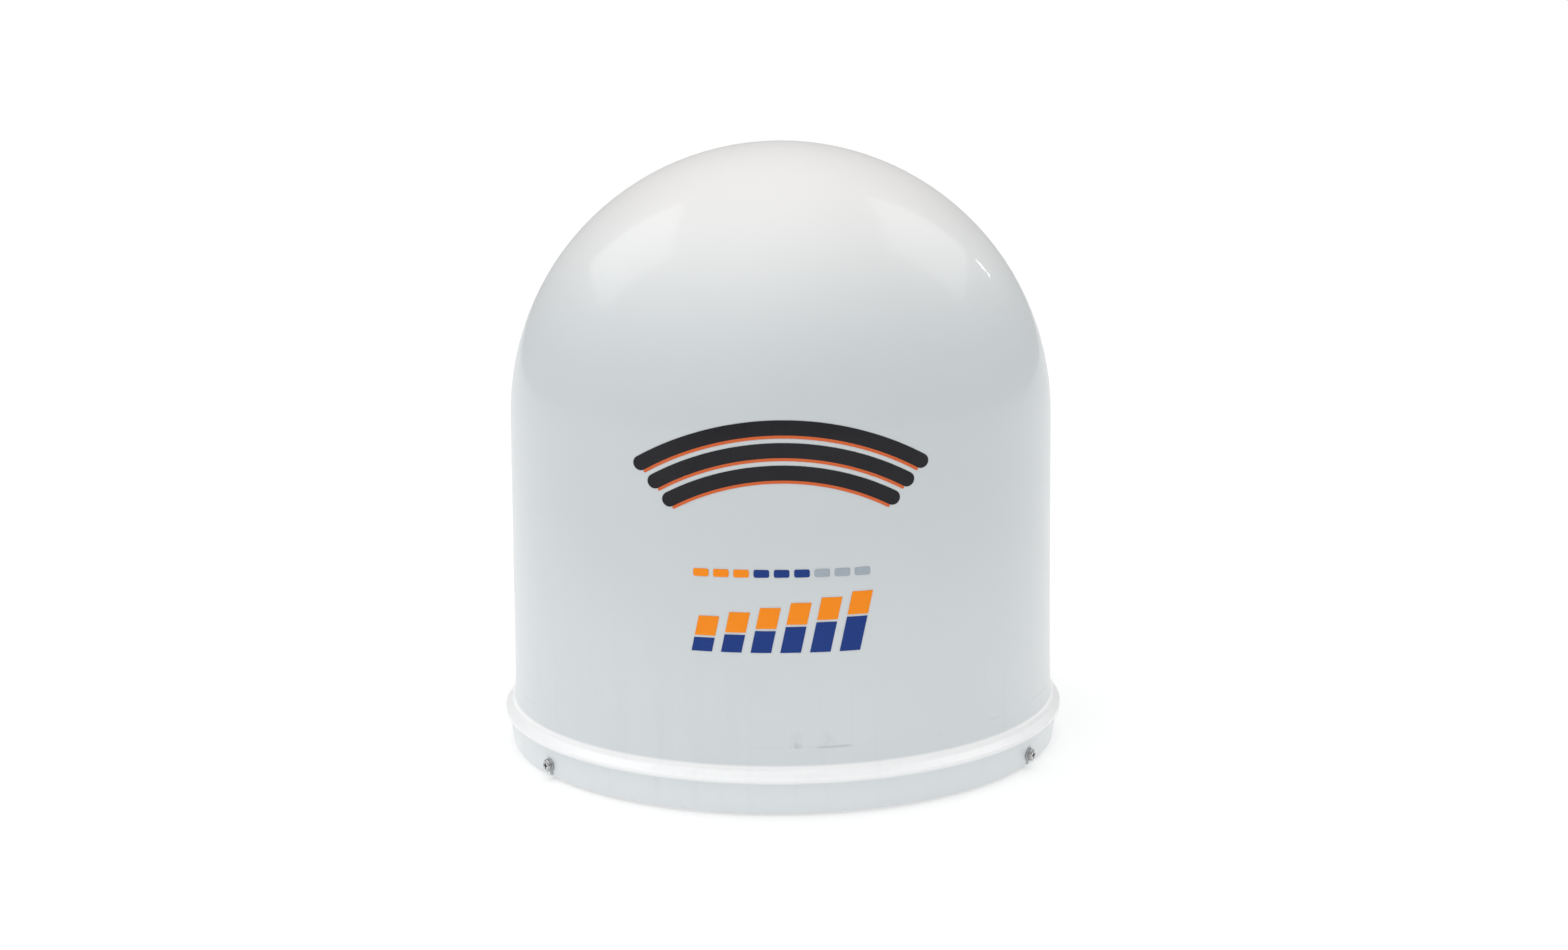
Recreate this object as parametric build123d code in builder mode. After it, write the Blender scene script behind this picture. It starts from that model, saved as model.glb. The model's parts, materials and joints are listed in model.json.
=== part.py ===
from build123d import *
import os
from math import cos, pi, radians, sin, tan

# A marine radome antenna: a domed GRP cover on a round base that carries a 4G router and its aerials.
# Millimetres. +Z is up, the front faces -Y, and the origin is the centre of the base's underside.

os.makedirs("parts", exist_ok=True)

# Fits between pieces
FIT = 0.05
SLIP = 0.1
CLEAR = 0.2
GAP = 0.3

# Radome: a hemisphere on a slightly drafted wall, with a ledge and a skirt round its foot
DOME_R = 185.0
DOME_Z = 223.5
DRAFT = 0.75
LAMINATE = 3.5
FLARE_TOP_Z = 47.5
FLARE_FOOT = (188.4, 32.0)
LEDGE_INNER = (188.88, 28.2)
LIP_R = 194.8
LIP_TOP_Z = 24.6
LIP_Z = 21.9
SKIRT_TOP_R = 192.0
SKIRT_FOOT_R = 189.8
SKIRT_FOOT_Z = 1.5
SKIRT_BORE_R = 186.3
SEAT_Z = 24.3
SEAT_BORE_R = 180.5
SEAT_TOP_Z = 34.0
SEAT_BLEND_Z = 40.0
SKIRT_RADII = [3.0, 2.0, 0.8, 0.8, 1.2, 0.8, 0.5, 0.5, 2.0]

# Radome screws, radial through open slots in the skirt
SCREW_AZIMUTHS = (-55, 55, 125, 235)
SCREW_Z = 9.7
SCREW_R = 2.0
SLOT_R = 2.3
SLOT_FROM_R = 184.3
SLOT_REACH = 10.0
SCREW_L = 18.0
SCREW_HEAD_R = 4.0
SCREW_HEAD_H = 2.4
WASHER_SEAT_R = 191.45
WASHER_R = 4.5
WASHER_T = 0.8
RIM_INSERT_R = 3.0
RIM_INSERT_L = 12.3
RIM_INSERT_FROM_R = 173.0
RIM_BLOCK = (14.0, 10.0, 12.0)
RIM_BLOCK_AT_R = 175.0

# Vinyl marks, on the side that faces the viewer
VINYL_FACING = -2.5
VINYL_T = 0.18
VINYL_LIFT = 0.02
VINYL_FROM = 120.0
VINYL_REACH = 80.0
FILM_FOOT_Z = 60.0
FILM_TOP_ANGLE = 14.0
FILM_HALF_SPAN = 60.0
ARC_CENTRE_Z = 74.5
ARCS = ((165.0, 31.0), (151.5, 30.2), (138.0, 29.2))
ARC_W = 9.0
ARC_SHADE_W = 1.8
BAR_COUNT = 6
BAR_PITCH = 18.0
BAR_W = 12.5
BAR_LEAN = 8.0
BAR_FOOT_Z = 102.5
BAR_HEIGHTS = (22.0, 36.5)
BAR_SPLITS = (8.5, 21.0)
BAR_SPLIT_GAP = 1.4
DASH_Z = 151.3
DASH_PITCH = 12.2
DASH_SIZE = (9.4, 4.8)
DASH_CORNER = 1.2
DASH_COLOURS = ("orange", "orange", "orange", "blue", "blue", "blue", "grey", "grey", "grey")

# Base tray
RIM_R = 185.8
RIM_BORE_R = 178.0
RIM_TOP = 22.0
RIM_CHAMFER = 0.6
FOOT_CHAMFER = 0.8
FLOOR_TOP = 8.0
RECESS_R = 160.0
RECESS_H = 4.0
GASKET_T = 2.0
GASKET_MARGIN = 0.8
RIB_T = 3.0
RIB_TOP = 16.0
RIB_COUNT = 12
RIB_START = 15

# Mounting inserts and their bosses
MOUNT_PCD = 220.0
MOUNT_COUNT = 4
MOUNT_START = 45
MOUNT_BORE_R = 4.0
MOUNT_INSERT_R = 6.0
MOUNT_INSERT_L = 18.0
MOUNT_BOSS_R = 14.0
MOUNT_BOSS_TOP = 26.0
MOUNT_RELIEF = 0.5

# Connector pocket, open underneath
POCKET_Y = 95.0
POCKET_R = 46.0
POCKET_BORE_R = 42.0
POCKET_ROOF = 40.0
POCKET_TOP = 44.0
POCKET_ROUND = 2.0
POWER_X = -18.0
LAN_X = 18.0
VENT_Y = 66.0
GROUND_Y = 124.0
STEM_TOP = 56.0

# Connectors in the pocket's roof
SEAL_T = 1.2
SEAL_MARGIN = 1.0
FLANGE_T = 3.6
MOUTH_Z = 20.0
POWER_FLANGE_R = 10.0
POWER_BARREL_R = 7.0
POWER_STEM_R = 6.0
POWER_MOUTH_R = 5.0
POWER_MOUTH_DEPTH = 11.0
CONTACT_COUNT = 4
CONTACT_RING_R = 2.4
CONTACT_R = 0.6
CONTACT_L = 8.0
CONTACT_INSET = 4.0
LAN_FLANGE_R = 14.0
LAN_BARREL_R = 12.0
LAN_STEM_R = 10.0
LAN_STEM_TOP = 50.0
LAN_NECK_R = 5.0
LAN_MOUTH = (12.2, 8.6)
LAN_KEY = (4.0, 2.4)
LAN_KEY_OFFSET = 5.0
LAN_MOUTH_DEPTH = 13.0
VENT_R = 8.0
VENT_H = 6.0
VENT_ROUND = 1.5
VENT_STEM_R = 4.0
VENT_STEM_L = 10.0
VENT_HOLE_COUNT = 6
VENT_HOLE_RING_R = 4.5
VENT_HOLE_R = 0.9
VENT_HOLE_DEPTH = 3.0
GROUND_R = 3.0
GROUND_AF = 10.0
GROUND_HEAD_H = 4.0
GROUND_L = 22.0
GROUND_NUT_H = 4.8
GROUND_NUT_DROPS = (5.0, 12.0)

# Chassis plate on hexagonal standoffs
PLATE_R = 150.0
PLATE_Z = 64.0
PLATE_TOP = 67.0
NOTCH_R = 38.0
STANDOFF_R = 130.0
STANDOFF_AZIMUTHS = (30, 150, 210, 330)
STANDOFF_AF = 10.0
STANDOFF_FOOT_Z = 14.0
STANDOFF_STUD_L = 8.0
STANDOFF_TAP_L = 14.0
STANDOFF_BOSS_R = 9.0
STANDOFF_HOLE_DEPTH = 9.0
PLATE_CHAMFER = 0.5
HANDLE_SLOT = (90.0, 20.0)
HANDLE_SLOT_Y = -115.0
M5_R = 2.45
M4_R = 2.0
M3_R = 1.5

# Router case
CASE_X = 160.0
CASE_Y0 = -75.0
CASE_Y1 = 35.0
CASE_Z = 73.0
CASE_SPLIT_Z = 101.0
CASE_TOP = 107.0
CASE_WALL = 2.0
CASE_CORNER = 5.0
EAR_X = 86.0
EAR_YS = (-55.0, 15.0)
EAR_SIZE = (16.0, 14.0)
EAR_REACH = 4.0
EAR_T = 3.0
EAR_CORNER = 3.0
LID_POSTS = ((-73, -68), (73, -68), (-73, 28), (73, 28))
LID_POST_R = 4.2
LID_POST_L = 22.8
LID_TAP_L = 12.8
LID_LIP_H = 3.0
LID_LIP_T = 1.6
LID_TOP_T = 2.0
LID_ROUND = 2.0
LID_LIP_CORNER = 1.4
LOUVRE = (24.0, 2.0)
LOUVRE_PITCH = (30.0, 5.0)
LOUVRE_GRID = (3, 9)
BOARD_Z = 79.0
BOARD_TOP = 80.6
BOARD_X = 134.0
BOARD_Y0 = -70.0
BOARD_Y1 = 30.0
BOARD_POSTS = ((-62, -60), (62, -60), (-62, 10), (62, 10))
BOARD_POST_R = 3.5
BOARD_HOLE_R = 1.4
BOARD_SCREW_R = 1.25
BOARD_TAP_L = 3.0

# Router sockets on the rear panel and controls on the front panel
JACK_Z = 86.0
JACK_REACH = 10.0
SMA_R = 3.1
WIFI_X = 60.0
LTE_JACK_X = 40.0
PANEL_Z = 82.4
SIM_XS = {"left": -38.0, "right": -12.0}
SIM_TRAY_W = 17.0
SIM_TRAY_T = 1.6
SIM_CARD = (15.0, 25.0, 0.76)
RESET_X = 16.0
RESET_R = 2.0
RESET_PLUNGER_R = 1.5
LED_XS = (34.0, 42.0, 50.0, 58.0)
LED_R = 1.3
POWER_HOLE_R = 3.2
LAN_HOLE = (13.0, 9.5)

# Components on the board
PROCESSOR_AT = (14.0, -14.0)
SHIELD_W = 34.0
SHIELD_H = 2.6
SHIELD_ROUND = 0.5
PAD_W = 30.0
PAD_H = 1.0
SINK_W = 36.0
SINK_BASE_H = 3.0
FIN_H = 9.0
FIN_T = 1.5
FIN_PITCH = 5.75
FIN_COUNT = 7
MODEM_X = -35.0
MODEM_CARD_LIFT = 4.0
MODEM_CARD_T = 1.2
SIM_HOLDER_Y = -57.0
JACK_BACK_Y = 32.8

# Wi-Fi aerials: a knuckle that turns on the socket's collar and a paddle that tilts in the knuckle
COLLAR_Y = CASE_Y1 + 2
COLLAR_L = 11.0
COLLAR_BORE_R = 2.5
HINGE_Y = 70.0
HINGE_R = 5.5
HINGE_PIN_R = 1.5
FORK_IN = 3.0
FORK_OUT = 5.5
EYE_HALF = 2.6
PADDLE_L = 140.0
NECK_SIZE = (10.0, 8.0)
NECK_CORNER = 3.0
BLADE_SIZE = (18.0, 8.0)
BLADE_CORNER = 3.5
BLADE_RISE = 18.0
TIP_SIZE = (13.0, 6.0)
TIP_CORNER = 2.6
TIP_ROUND = 1.2

# LTE aerials, one on each side of the router
LTE_X = 120.0
LTE_FOOT_Z = 71.0
LTE_HUB_TOP = 83.0
LTE_TUBE_R = 8.5
LTE_TUBE_Z = 96.0
LTE_TUBE_TOP = 270.0
LTE_GLAND_Y = 20.0
LTE_LEAD_Z = 74.0
LTE_PLACES = ((-LTE_X, 0, 0), (LTE_X, 0, 0))
LTE_FOOT_SIZE = (56.0, 28.0)
LTE_SCREW_STEP = 20.0
LTE_HUB_R = 14.0
LTE_HUB_ROUND = 1.5
LTE_HEAD_POCKET_R = 4.4
LTE_GLAND_R = 3.4
LTE_GLAND_DEPTH = 3.0
FERRULE_AF = 20.0
FERRULE_HEX_H = 6.0
FERRULE_R = 10.0
FERRULE_NECK_H = 15.0
FERRULE_CHAMFER = 0.8
TUBE_WALL = 1.5
TUBE_CAP_T = 6.0
TUBE_ROUND = 5.0
RADIATOR_R = 1.5
RADIATOR_L = 150.0
SLEEVE_R = 4.5
SLEEVE_L = 40.0
SLEEVE_RISE = 30.0

# Leads
COAX_R = 1.4
POWER_LEAD_R = 2.1
LAN_LEAD_R = 2.25


def save(piece, label):
    """Labels a finished piece and writes it as its own STEP file."""
    piece.part.label = label
    export_step(piece.part, f"parts/{label}.step")


def polar(radius, azimuth, z):
    """A point at an azimuth measured from the front, -Y, towards +X."""
    turn = radians(azimuth)
    return (radius * sin(turn), -radius * cos(turn), z)


def radial_plane(radius, azimuth, z):
    """A plane facing straight out from the Z axis, with its own Y axis up."""
    turn = radians(azimuth)
    outward = (sin(turn), -cos(turn), 0)
    return Plane(origin=polar(radius, azimuth, z), x_dir=(cos(turn), sin(turn), 0), z_dir=outward)


def wall_r(z, depth=0.0):
    """Radius of the drafted wall at height z, a depth under its outer surface."""
    turn = radians(DRAFT)
    sphere = DOME_R - depth
    return sphere * cos(turn) + (DOME_Z + sphere * sin(turn) - z) * tan(turn)


def shoulder(depth=0.0):
    """Where the hemisphere runs tangent into the drafted wall."""
    turn = radians(DRAFT)
    sphere = DOME_R - depth
    return (sphere * cos(turn), DOME_Z + sphere * sin(turn))


def hexagon(across_flats):
    """A hexagon in the open sketch, by its width across flats."""
    RegularPolygon(radius=across_flats / 2, side_count=6, major_radius=False)


def column(plane, radius, height):
    """Adds a cylinder to the open part, standing on a plane."""
    with BuildSketch(plane) as disc:
        Circle(radius)
    extrude(disc.sketch, amount=height)


def bore(plane, radius, depth):
    """Cuts a round hole in the open part, from a plane along the plane's normal."""
    with BuildSketch(plane) as disc:
        Circle(radius)
    extrude(disc.sketch, amount=depth, mode=Mode.SUBTRACT)


def block(size_x, size_y, low_z, high_z, centre=(0, 0), corner=0.0, mode=Mode.ADD):
    """Adds or cuts an upright rectangular block, with rounded vertical edges if corner is given."""
    with BuildSketch(Plane.XY.offset(low_z)) as foot:
        with Locations(centre):
            if corner:
                RectangleRounded(size_x, size_y, corner)
            else:
                Rectangle(size_x, size_y)
    extrude(foot.sketch, amount=high_z - low_z, mode=mode)


def pan_screw(shank_r, length, head_r, head_h):
    """One cross-recessed pan-head screw: its seat on XY, its head up."""
    with BuildPart() as screw:
        column(Plane.XY, head_r, head_h)
        top_edge = screw.edges().filter_by(GeomType.CIRCLE).sort_by(Axis.Z)[-1]
        fillet(top_edge, head_h * 0.6)
        with BuildSketch(Plane.XY.offset(head_h)):
            Rectangle(head_r * 1.1, head_r * 0.26)
            Rectangle(head_r * 0.26, head_r * 1.1)
        extrude(amount=-head_h * 0.55, mode=Mode.SUBTRACT)
        column(Plane.XY, shank_r, -length)
        tip = screw.edges().filter_by(GeomType.CIRCLE).sort_by(Axis.Z)[0]
        chamfer(tip, shank_r * 0.3)
    return screw


def placed(one, places):
    """Copies of one piece at several planes or points, kept as separate solids."""
    with BuildPart() as group:
        with Locations(*places):
            add(one.part)
    return group


def ring(outer_r, inner_r, height):
    """A flat ring that stands on XY."""
    with BuildPart() as washer:
        with BuildSketch():
            Circle(outer_r)
            Circle(inner_r, mode=Mode.SUBTRACT)
        extrude(amount=height)
    return washer


def hex_nut(across_flats, bore_r, height):
    """A hexagonal nut that stands on XY, its corners turned off."""
    with BuildPart() as nut:
        with BuildSketch():
            hexagon(across_flats)
        extrude(amount=height)
        with BuildSketch():
            Circle(across_flats * 0.56)
        extrude(amount=height, mode=Mode.INTERSECT)
        bore(Plane.XY, bore_r, height)
    return nut


def lead_radii(points):
    """The largest arc that each corner's two runs allow, with both ends of a run sharing it."""
    radii = []
    for before, corner, after in zip(points, points[1:], points[2:]):
        run_in = Vector(*corner) - Vector(*before)
        run_out = Vector(*after) - Vector(*corner)
        half_turn = radians(run_in.get_angle(run_out)) / 2
        radii.append(0.45 * min(run_in.length, run_out.length) / tan(half_turn))
    return radii


def lead(points, radius, name):
    """A round lead along straight runs joined by tangent arcs."""
    radii = lead_radii(points)
    with BuildPart() as tube:
        with BuildLine() as route:
            FilletPolyline(*points, radius=radii)
        with BuildSketch(Plane(origin=points[0], z_dir=Vector(*points[1]) - Vector(*points[0]))):
            Circle(radius)
        sweep(path=route.wires()[0])
    length = route.wires()[0].length
    print(name, "length", round(length, 1), "arcs", [round(r, 1) for r in radii])
    print(name, "volume over section x length", round(tube.part.volume / (pi * radius**2 * length), 4))
    return tube


# Radome shell, laid up in one piece with its ledge and skirt

def radome_shell():
    """The domed cover: hemisphere, drafted wall, ledge, lip and slotted skirt."""
    with BuildPart() as shell:
        with BuildSketch(Plane.XZ):
            with BuildLine():
                CenterArc((0, DOME_Z), DOME_R, DRAFT, 90 - DRAFT)
                flare_top = (wall_r(FLARE_TOP_Z), FLARE_TOP_Z)
                Line(shoulder(), flare_top)
                TangentArc(flare_top, FLARE_FOOT, tangent=(sin(radians(DRAFT)), -cos(radians(DRAFT))))
                FilletPolyline(
                    FLARE_FOOT,
                    LEDGE_INNER,
                    (LIP_R, LIP_TOP_Z),
                    (LIP_R, LIP_Z),
                    (SKIRT_TOP_R, LIP_Z),
                    (SKIRT_FOOT_R, SKIRT_FOOT_Z),
                    (SKIRT_BORE_R, SKIRT_FOOT_Z),
                    (SKIRT_BORE_R, SEAT_Z),
                    (SEAT_BORE_R, SEAT_Z),
                    (SEAT_BORE_R, SEAT_TOP_Z),
                    (wall_r(SEAT_BLEND_Z, LAMINATE), SEAT_BLEND_Z),
                    radius=SKIRT_RADII,
                )
                Line((wall_r(SEAT_BLEND_Z, LAMINATE), SEAT_BLEND_Z), shoulder(LAMINATE))
                CenterArc((0, DOME_Z), DOME_R - LAMINATE, DRAFT, 90 - DRAFT)
                Line((0, DOME_Z + DOME_R - LAMINATE), (0, DOME_Z + DOME_R))
            make_face()
        revolve(axis=Axis.Z)
        for azimuth in SCREW_AZIMUTHS:
            with BuildSketch(radial_plane(SLOT_FROM_R, azimuth, SCREW_Z)):
                Circle(SLOT_R)
                with Locations((0, -SCREW_Z / 2)):
                    Rectangle(2 * SLOT_R, SCREW_Z)
            extrude(amount=SLOT_REACH, mode=Mode.SUBTRACT)
    return shell


# Vinyl marks: plain signal arcs, slanted bars and dashes, cut from film and laid on the wall

VINYL_PLANE = radial_plane(VINYL_FROM, VINYL_FACING, 0)


def vinyl_film():
    """Thin film round the front of the wall's outer surface, from which every mark is cut."""
    outside = VINYL_LIFT + VINYL_T
    start = radians(-FILM_HALF_SPAN)
    foot_inner = (wall_r(FILM_FOOT_Z, -VINYL_LIFT), FILM_FOOT_Z)
    foot_outer = (wall_r(FILM_FOOT_Z, -outside), FILM_FOOT_Z)
    edge_plane = Plane(
        origin=(0, 0, 0),
        x_dir=polar(1, -FILM_HALF_SPAN, 0),
        z_dir=(-cos(start), -sin(start), 0),
    )
    with BuildPart() as film:
        with BuildSketch(edge_plane):
            with BuildLine():
                Line(foot_inner, shoulder(-VINYL_LIFT))
                inner = CenterArc((0, DOME_Z), DOME_R + VINYL_LIFT, DRAFT, FILM_TOP_ANGLE)
                outer = CenterArc((0, DOME_Z), DOME_R + outside, DRAFT, FILM_TOP_ANGLE)
                Line(inner @ 1, outer @ 1)
                Line(foot_outer, shoulder(-outside))
                Line(foot_inner, foot_outer)
            make_face()
        revolve(axis=Axis.Z, revolution_arc=2 * FILM_HALF_SPAN)
    return film


def arc_band(radius, half_span, width):
    """One arched band with round ends, in the open sketch."""
    with BuildLine(mode=Mode.PRIVATE) as middle:
        CenterArc((0, ARC_CENTRE_Z), radius, 90 - half_span, 2 * half_span)
    SlotArc(arc=middle.edges()[0], height=width)


def slanted_bar(index, low, high):
    """A leaning bar between two heights above the bars' foot, in the open sketch."""
    middle = (index - (BAR_COUNT - 1) / 2) * BAR_PITCH
    lean = BAR_LEAN / BAR_HEIGHTS[1]
    shift = middle - BAR_LEAN / 2
    half = BAR_W / 2
    Polygon(
        (shift - half + lean * low, BAR_FOOT_Z + low),
        (shift + half + lean * low, BAR_FOOT_Z + low),
        (shift + half + lean * high, BAR_FOOT_Z + high),
        (shift - half + lean * high, BAR_FOOT_Z + high),
        align=None,
    )


def step_value(ends, index):
    """A value that rises evenly from the first bar to the last."""
    return ends[0] + (ends[1] - ends[0]) * index / (BAR_COUNT - 1)


def dashes(colour):
    """The short dashes of one colour, in the open sketch."""
    for index, own in enumerate(DASH_COLOURS):
        if own == colour:
            with Locations(((index - (len(DASH_COLOURS) - 1) / 2) * DASH_PITCH, DASH_Z)):
                RectangleRounded(*DASH_SIZE, DASH_CORNER)


def vinyl_marks():
    """Every vinyl piece, one node for each film colour."""
    film = vinyl_film()

    with BuildPart() as dark:
        with BuildSketch(VINYL_PLANE):
            for radius, half_span in ARCS:
                arc_band(radius, half_span, ARC_W)
        extrude(amount=VINYL_REACH)
        add(film.part, mode=Mode.INTERSECT)
    save(dark, "signal_arcs_dark")

    with BuildPart() as shade:
        with BuildSketch(VINYL_PLANE):
            for radius, half_span in ARCS:
                arc_band(radius - (ARC_W + ARC_SHADE_W) / 2 - FIT, half_span, ARC_SHADE_W)
        extrude(amount=VINYL_REACH)
        add(film.part, mode=Mode.INTERSECT)
    save(shade, "signal_arcs_orange")

    with BuildPart() as orange:
        with BuildSketch(VINYL_PLANE):
            for index in range(BAR_COUNT):
                split = step_value(BAR_SPLITS, index) + BAR_SPLIT_GAP
                slanted_bar(index, split, step_value(BAR_HEIGHTS, index))
            dashes("orange")
        extrude(amount=VINYL_REACH)
        add(film.part, mode=Mode.INTERSECT)
    save(orange, "signal_bars_orange")

    with BuildPart() as blue:
        with BuildSketch(VINYL_PLANE):
            for index in range(BAR_COUNT):
                slanted_bar(index, 0, step_value(BAR_SPLITS, index))
            dashes("blue")
        extrude(amount=VINYL_REACH)
        add(film.part, mode=Mode.INTERSECT)
    save(blue, "signal_bars_blue")

    with BuildPart() as grey:
        with BuildSketch(VINYL_PLANE):
            dashes("grey")
        extrude(amount=VINYL_REACH)
        add(film.part, mode=Mode.INTERSECT)
    save(grey, "signal_dashes_grey")


# Base tray and what is fastened to it

def base_tray():
    """The moulded base: foot ring, ribbed floor, rim, bosses and connector pocket."""
    rib_reach = RIM_BORE_R + 1
    with BuildPart() as tray:
        column(Plane.XY, RIM_R, FLOOR_TOP)
        with BuildSketch(Plane.XY.offset(FLOOR_TOP)):
            Circle(RIM_R)
            Circle(RIM_BORE_R, mode=Mode.SUBTRACT)
        extrude(amount=RIM_TOP - FLOOR_TOP)
        rim_edges = tray.edges().filter_by(GeomType.CIRCLE).group_by(Axis.Z)[-1]
        chamfer(rim_edges, RIM_CHAMFER)
        foot_edge = tray.edges().filter_by(GeomType.CIRCLE).group_by(Axis.Z)[0]
        chamfer(foot_edge, FOOT_CHAMFER)
        bore(Plane.XY, RECESS_R, RECESS_H)

        with BuildSketch(Plane.XY.offset(FLOOR_TOP)):
            with PolarLocations(rib_reach / 2, RIB_COUNT, start_angle=RIB_START):
                Rectangle(rib_reach, RIB_T)
        extrude(amount=RIB_TOP - FLOOR_TOP)
        with BuildSketch(Plane.XY):
            with PolarLocations(RECESS_R / 2, RIB_COUNT, start_angle=RIB_START):
                Rectangle(RECESS_R, RIB_T)
        extrude(amount=RECESS_H)

        with BuildSketch(Plane.XY):
            with PolarLocations(MOUNT_PCD / 2, MOUNT_COUNT, start_angle=MOUNT_START):
                Circle(MOUNT_BOSS_R)
        extrude(amount=MOUNT_BOSS_TOP)
        with BuildSketch(Plane.XY.offset(RECESS_H)):
            with Locations(*standoff_points(0)):
                Circle(STANDOFF_BOSS_R)
        extrude(amount=STANDOFF_FOOT_Z - RECESS_H)
        for azimuth in SCREW_AZIMUTHS:
            with BuildSketch(Plane.XY.offset(FLOOR_TOP)):
                with Locations(Location(polar(RIM_BLOCK_AT_R, azimuth, 0), (0, 0, azimuth))):
                    Rectangle(RIM_BLOCK[0], RIM_BLOCK[1])
            extrude(amount=RIM_BLOCK[2])

        with Locations((0, POCKET_Y, 0)):
            Cylinder(POCKET_R, POCKET_TOP, align=(Align.CENTER, Align.CENTER, Align.MIN))
            Cylinder(
                POCKET_BORE_R,
                POCKET_ROOF,
                align=(Align.CENTER, Align.CENTER, Align.MIN),
                mode=Mode.SUBTRACT,
            )
        roof_edge = tray.edges().filter_by(GeomType.CIRCLE).group_by(Axis.Z)[-1]
        fillet(roof_edge, POCKET_ROUND)

        with BuildSketch(Plane.XY):
            with PolarLocations(MOUNT_PCD / 2, MOUNT_COUNT, start_angle=MOUNT_START):
                Circle(MOUNT_INSERT_R + FIT)
        extrude(amount=MOUNT_INSERT_L + MOUNT_RELIEF, mode=Mode.SUBTRACT)
        with BuildSketch(Plane.XY.offset(STANDOFF_FOOT_Z)):
            with Locations(*standoff_points(0)):
                Circle(M5_R + FIT)
        extrude(amount=-STANDOFF_HOLE_DEPTH, mode=Mode.SUBTRACT)
        for azimuth in SCREW_AZIMUTHS:
            insert_plane = radial_plane(RIM_INSERT_FROM_R - 1, azimuth, SCREW_Z)
            bore(insert_plane, RIM_INSERT_R + FIT, RIM_R - RIM_INSERT_FROM_R + 2)
        stems = (
            (POWER_X, POCKET_Y, POWER_STEM_R),
            (LAN_X, POCKET_Y, LAN_STEM_R),
            (0, VENT_Y, VENT_STEM_R),
            (0, GROUND_Y, GROUND_R),
        )
        for x, y, radius in stems:
            bore(Plane((x, y, POCKET_ROOF)), radius + SLIP, POCKET_TOP - POCKET_ROOF)
    return tray


def standoff_points(z):
    """The four standoff centres at height z."""
    return [polar(STANDOFF_R, azimuth + 90, z) for azimuth in STANDOFF_AZIMUTHS]


def rim_hardware():
    """The seal on the rim, and the four radial screws with their washers and inserts."""
    with BuildPart() as gasket:
        with BuildSketch(Plane.XY.offset(RIM_TOP)):
            Circle(RIM_R - GASKET_MARGIN)
            Circle(RIM_BORE_R + 2 * GASKET_MARGIN, mode=Mode.SUBTRACT)
        extrude(amount=GASKET_T)
        fillet(gasket.edges().group_by(Axis.Z)[-1], GASKET_MARGIN)
    save(gasket, "rim_gasket")

    seats = [radial_plane(WASHER_SEAT_R, azimuth, SCREW_Z) for azimuth in SCREW_AZIMUTHS]
    heads = [radial_plane(WASHER_SEAT_R + WASHER_T, azimuth, SCREW_Z) for azimuth in SCREW_AZIMUTHS]
    ends = [radial_plane(RIM_INSERT_FROM_R, azimuth, SCREW_Z) for azimuth in SCREW_AZIMUTHS]
    save(placed(pan_screw(SCREW_R, SCREW_L, SCREW_HEAD_R, SCREW_HEAD_H), heads), "radome_screws")
    save(placed(ring(WASHER_R, SCREW_R + SLIP, WASHER_T), seats), "screw_washers")
    save(placed(ring(RIM_INSERT_R, SCREW_R + FIT, RIM_INSERT_L), ends), "rim_inserts")


def mounting_inserts():
    """Brass M8 inserts moulded into the underside."""
    with BuildPart() as one:
        column(Plane.XY, MOUNT_INSERT_R, MOUNT_INSERT_L)
        bore(Plane.XY, MOUNT_BORE_R, MOUNT_INSERT_L)
    turns = [MOUNT_START + 360 / MOUNT_COUNT * index for index in range(MOUNT_COUNT)]
    return placed(one, [polar(MOUNT_PCD / 2, turn, 0) for turn in turns])


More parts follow.
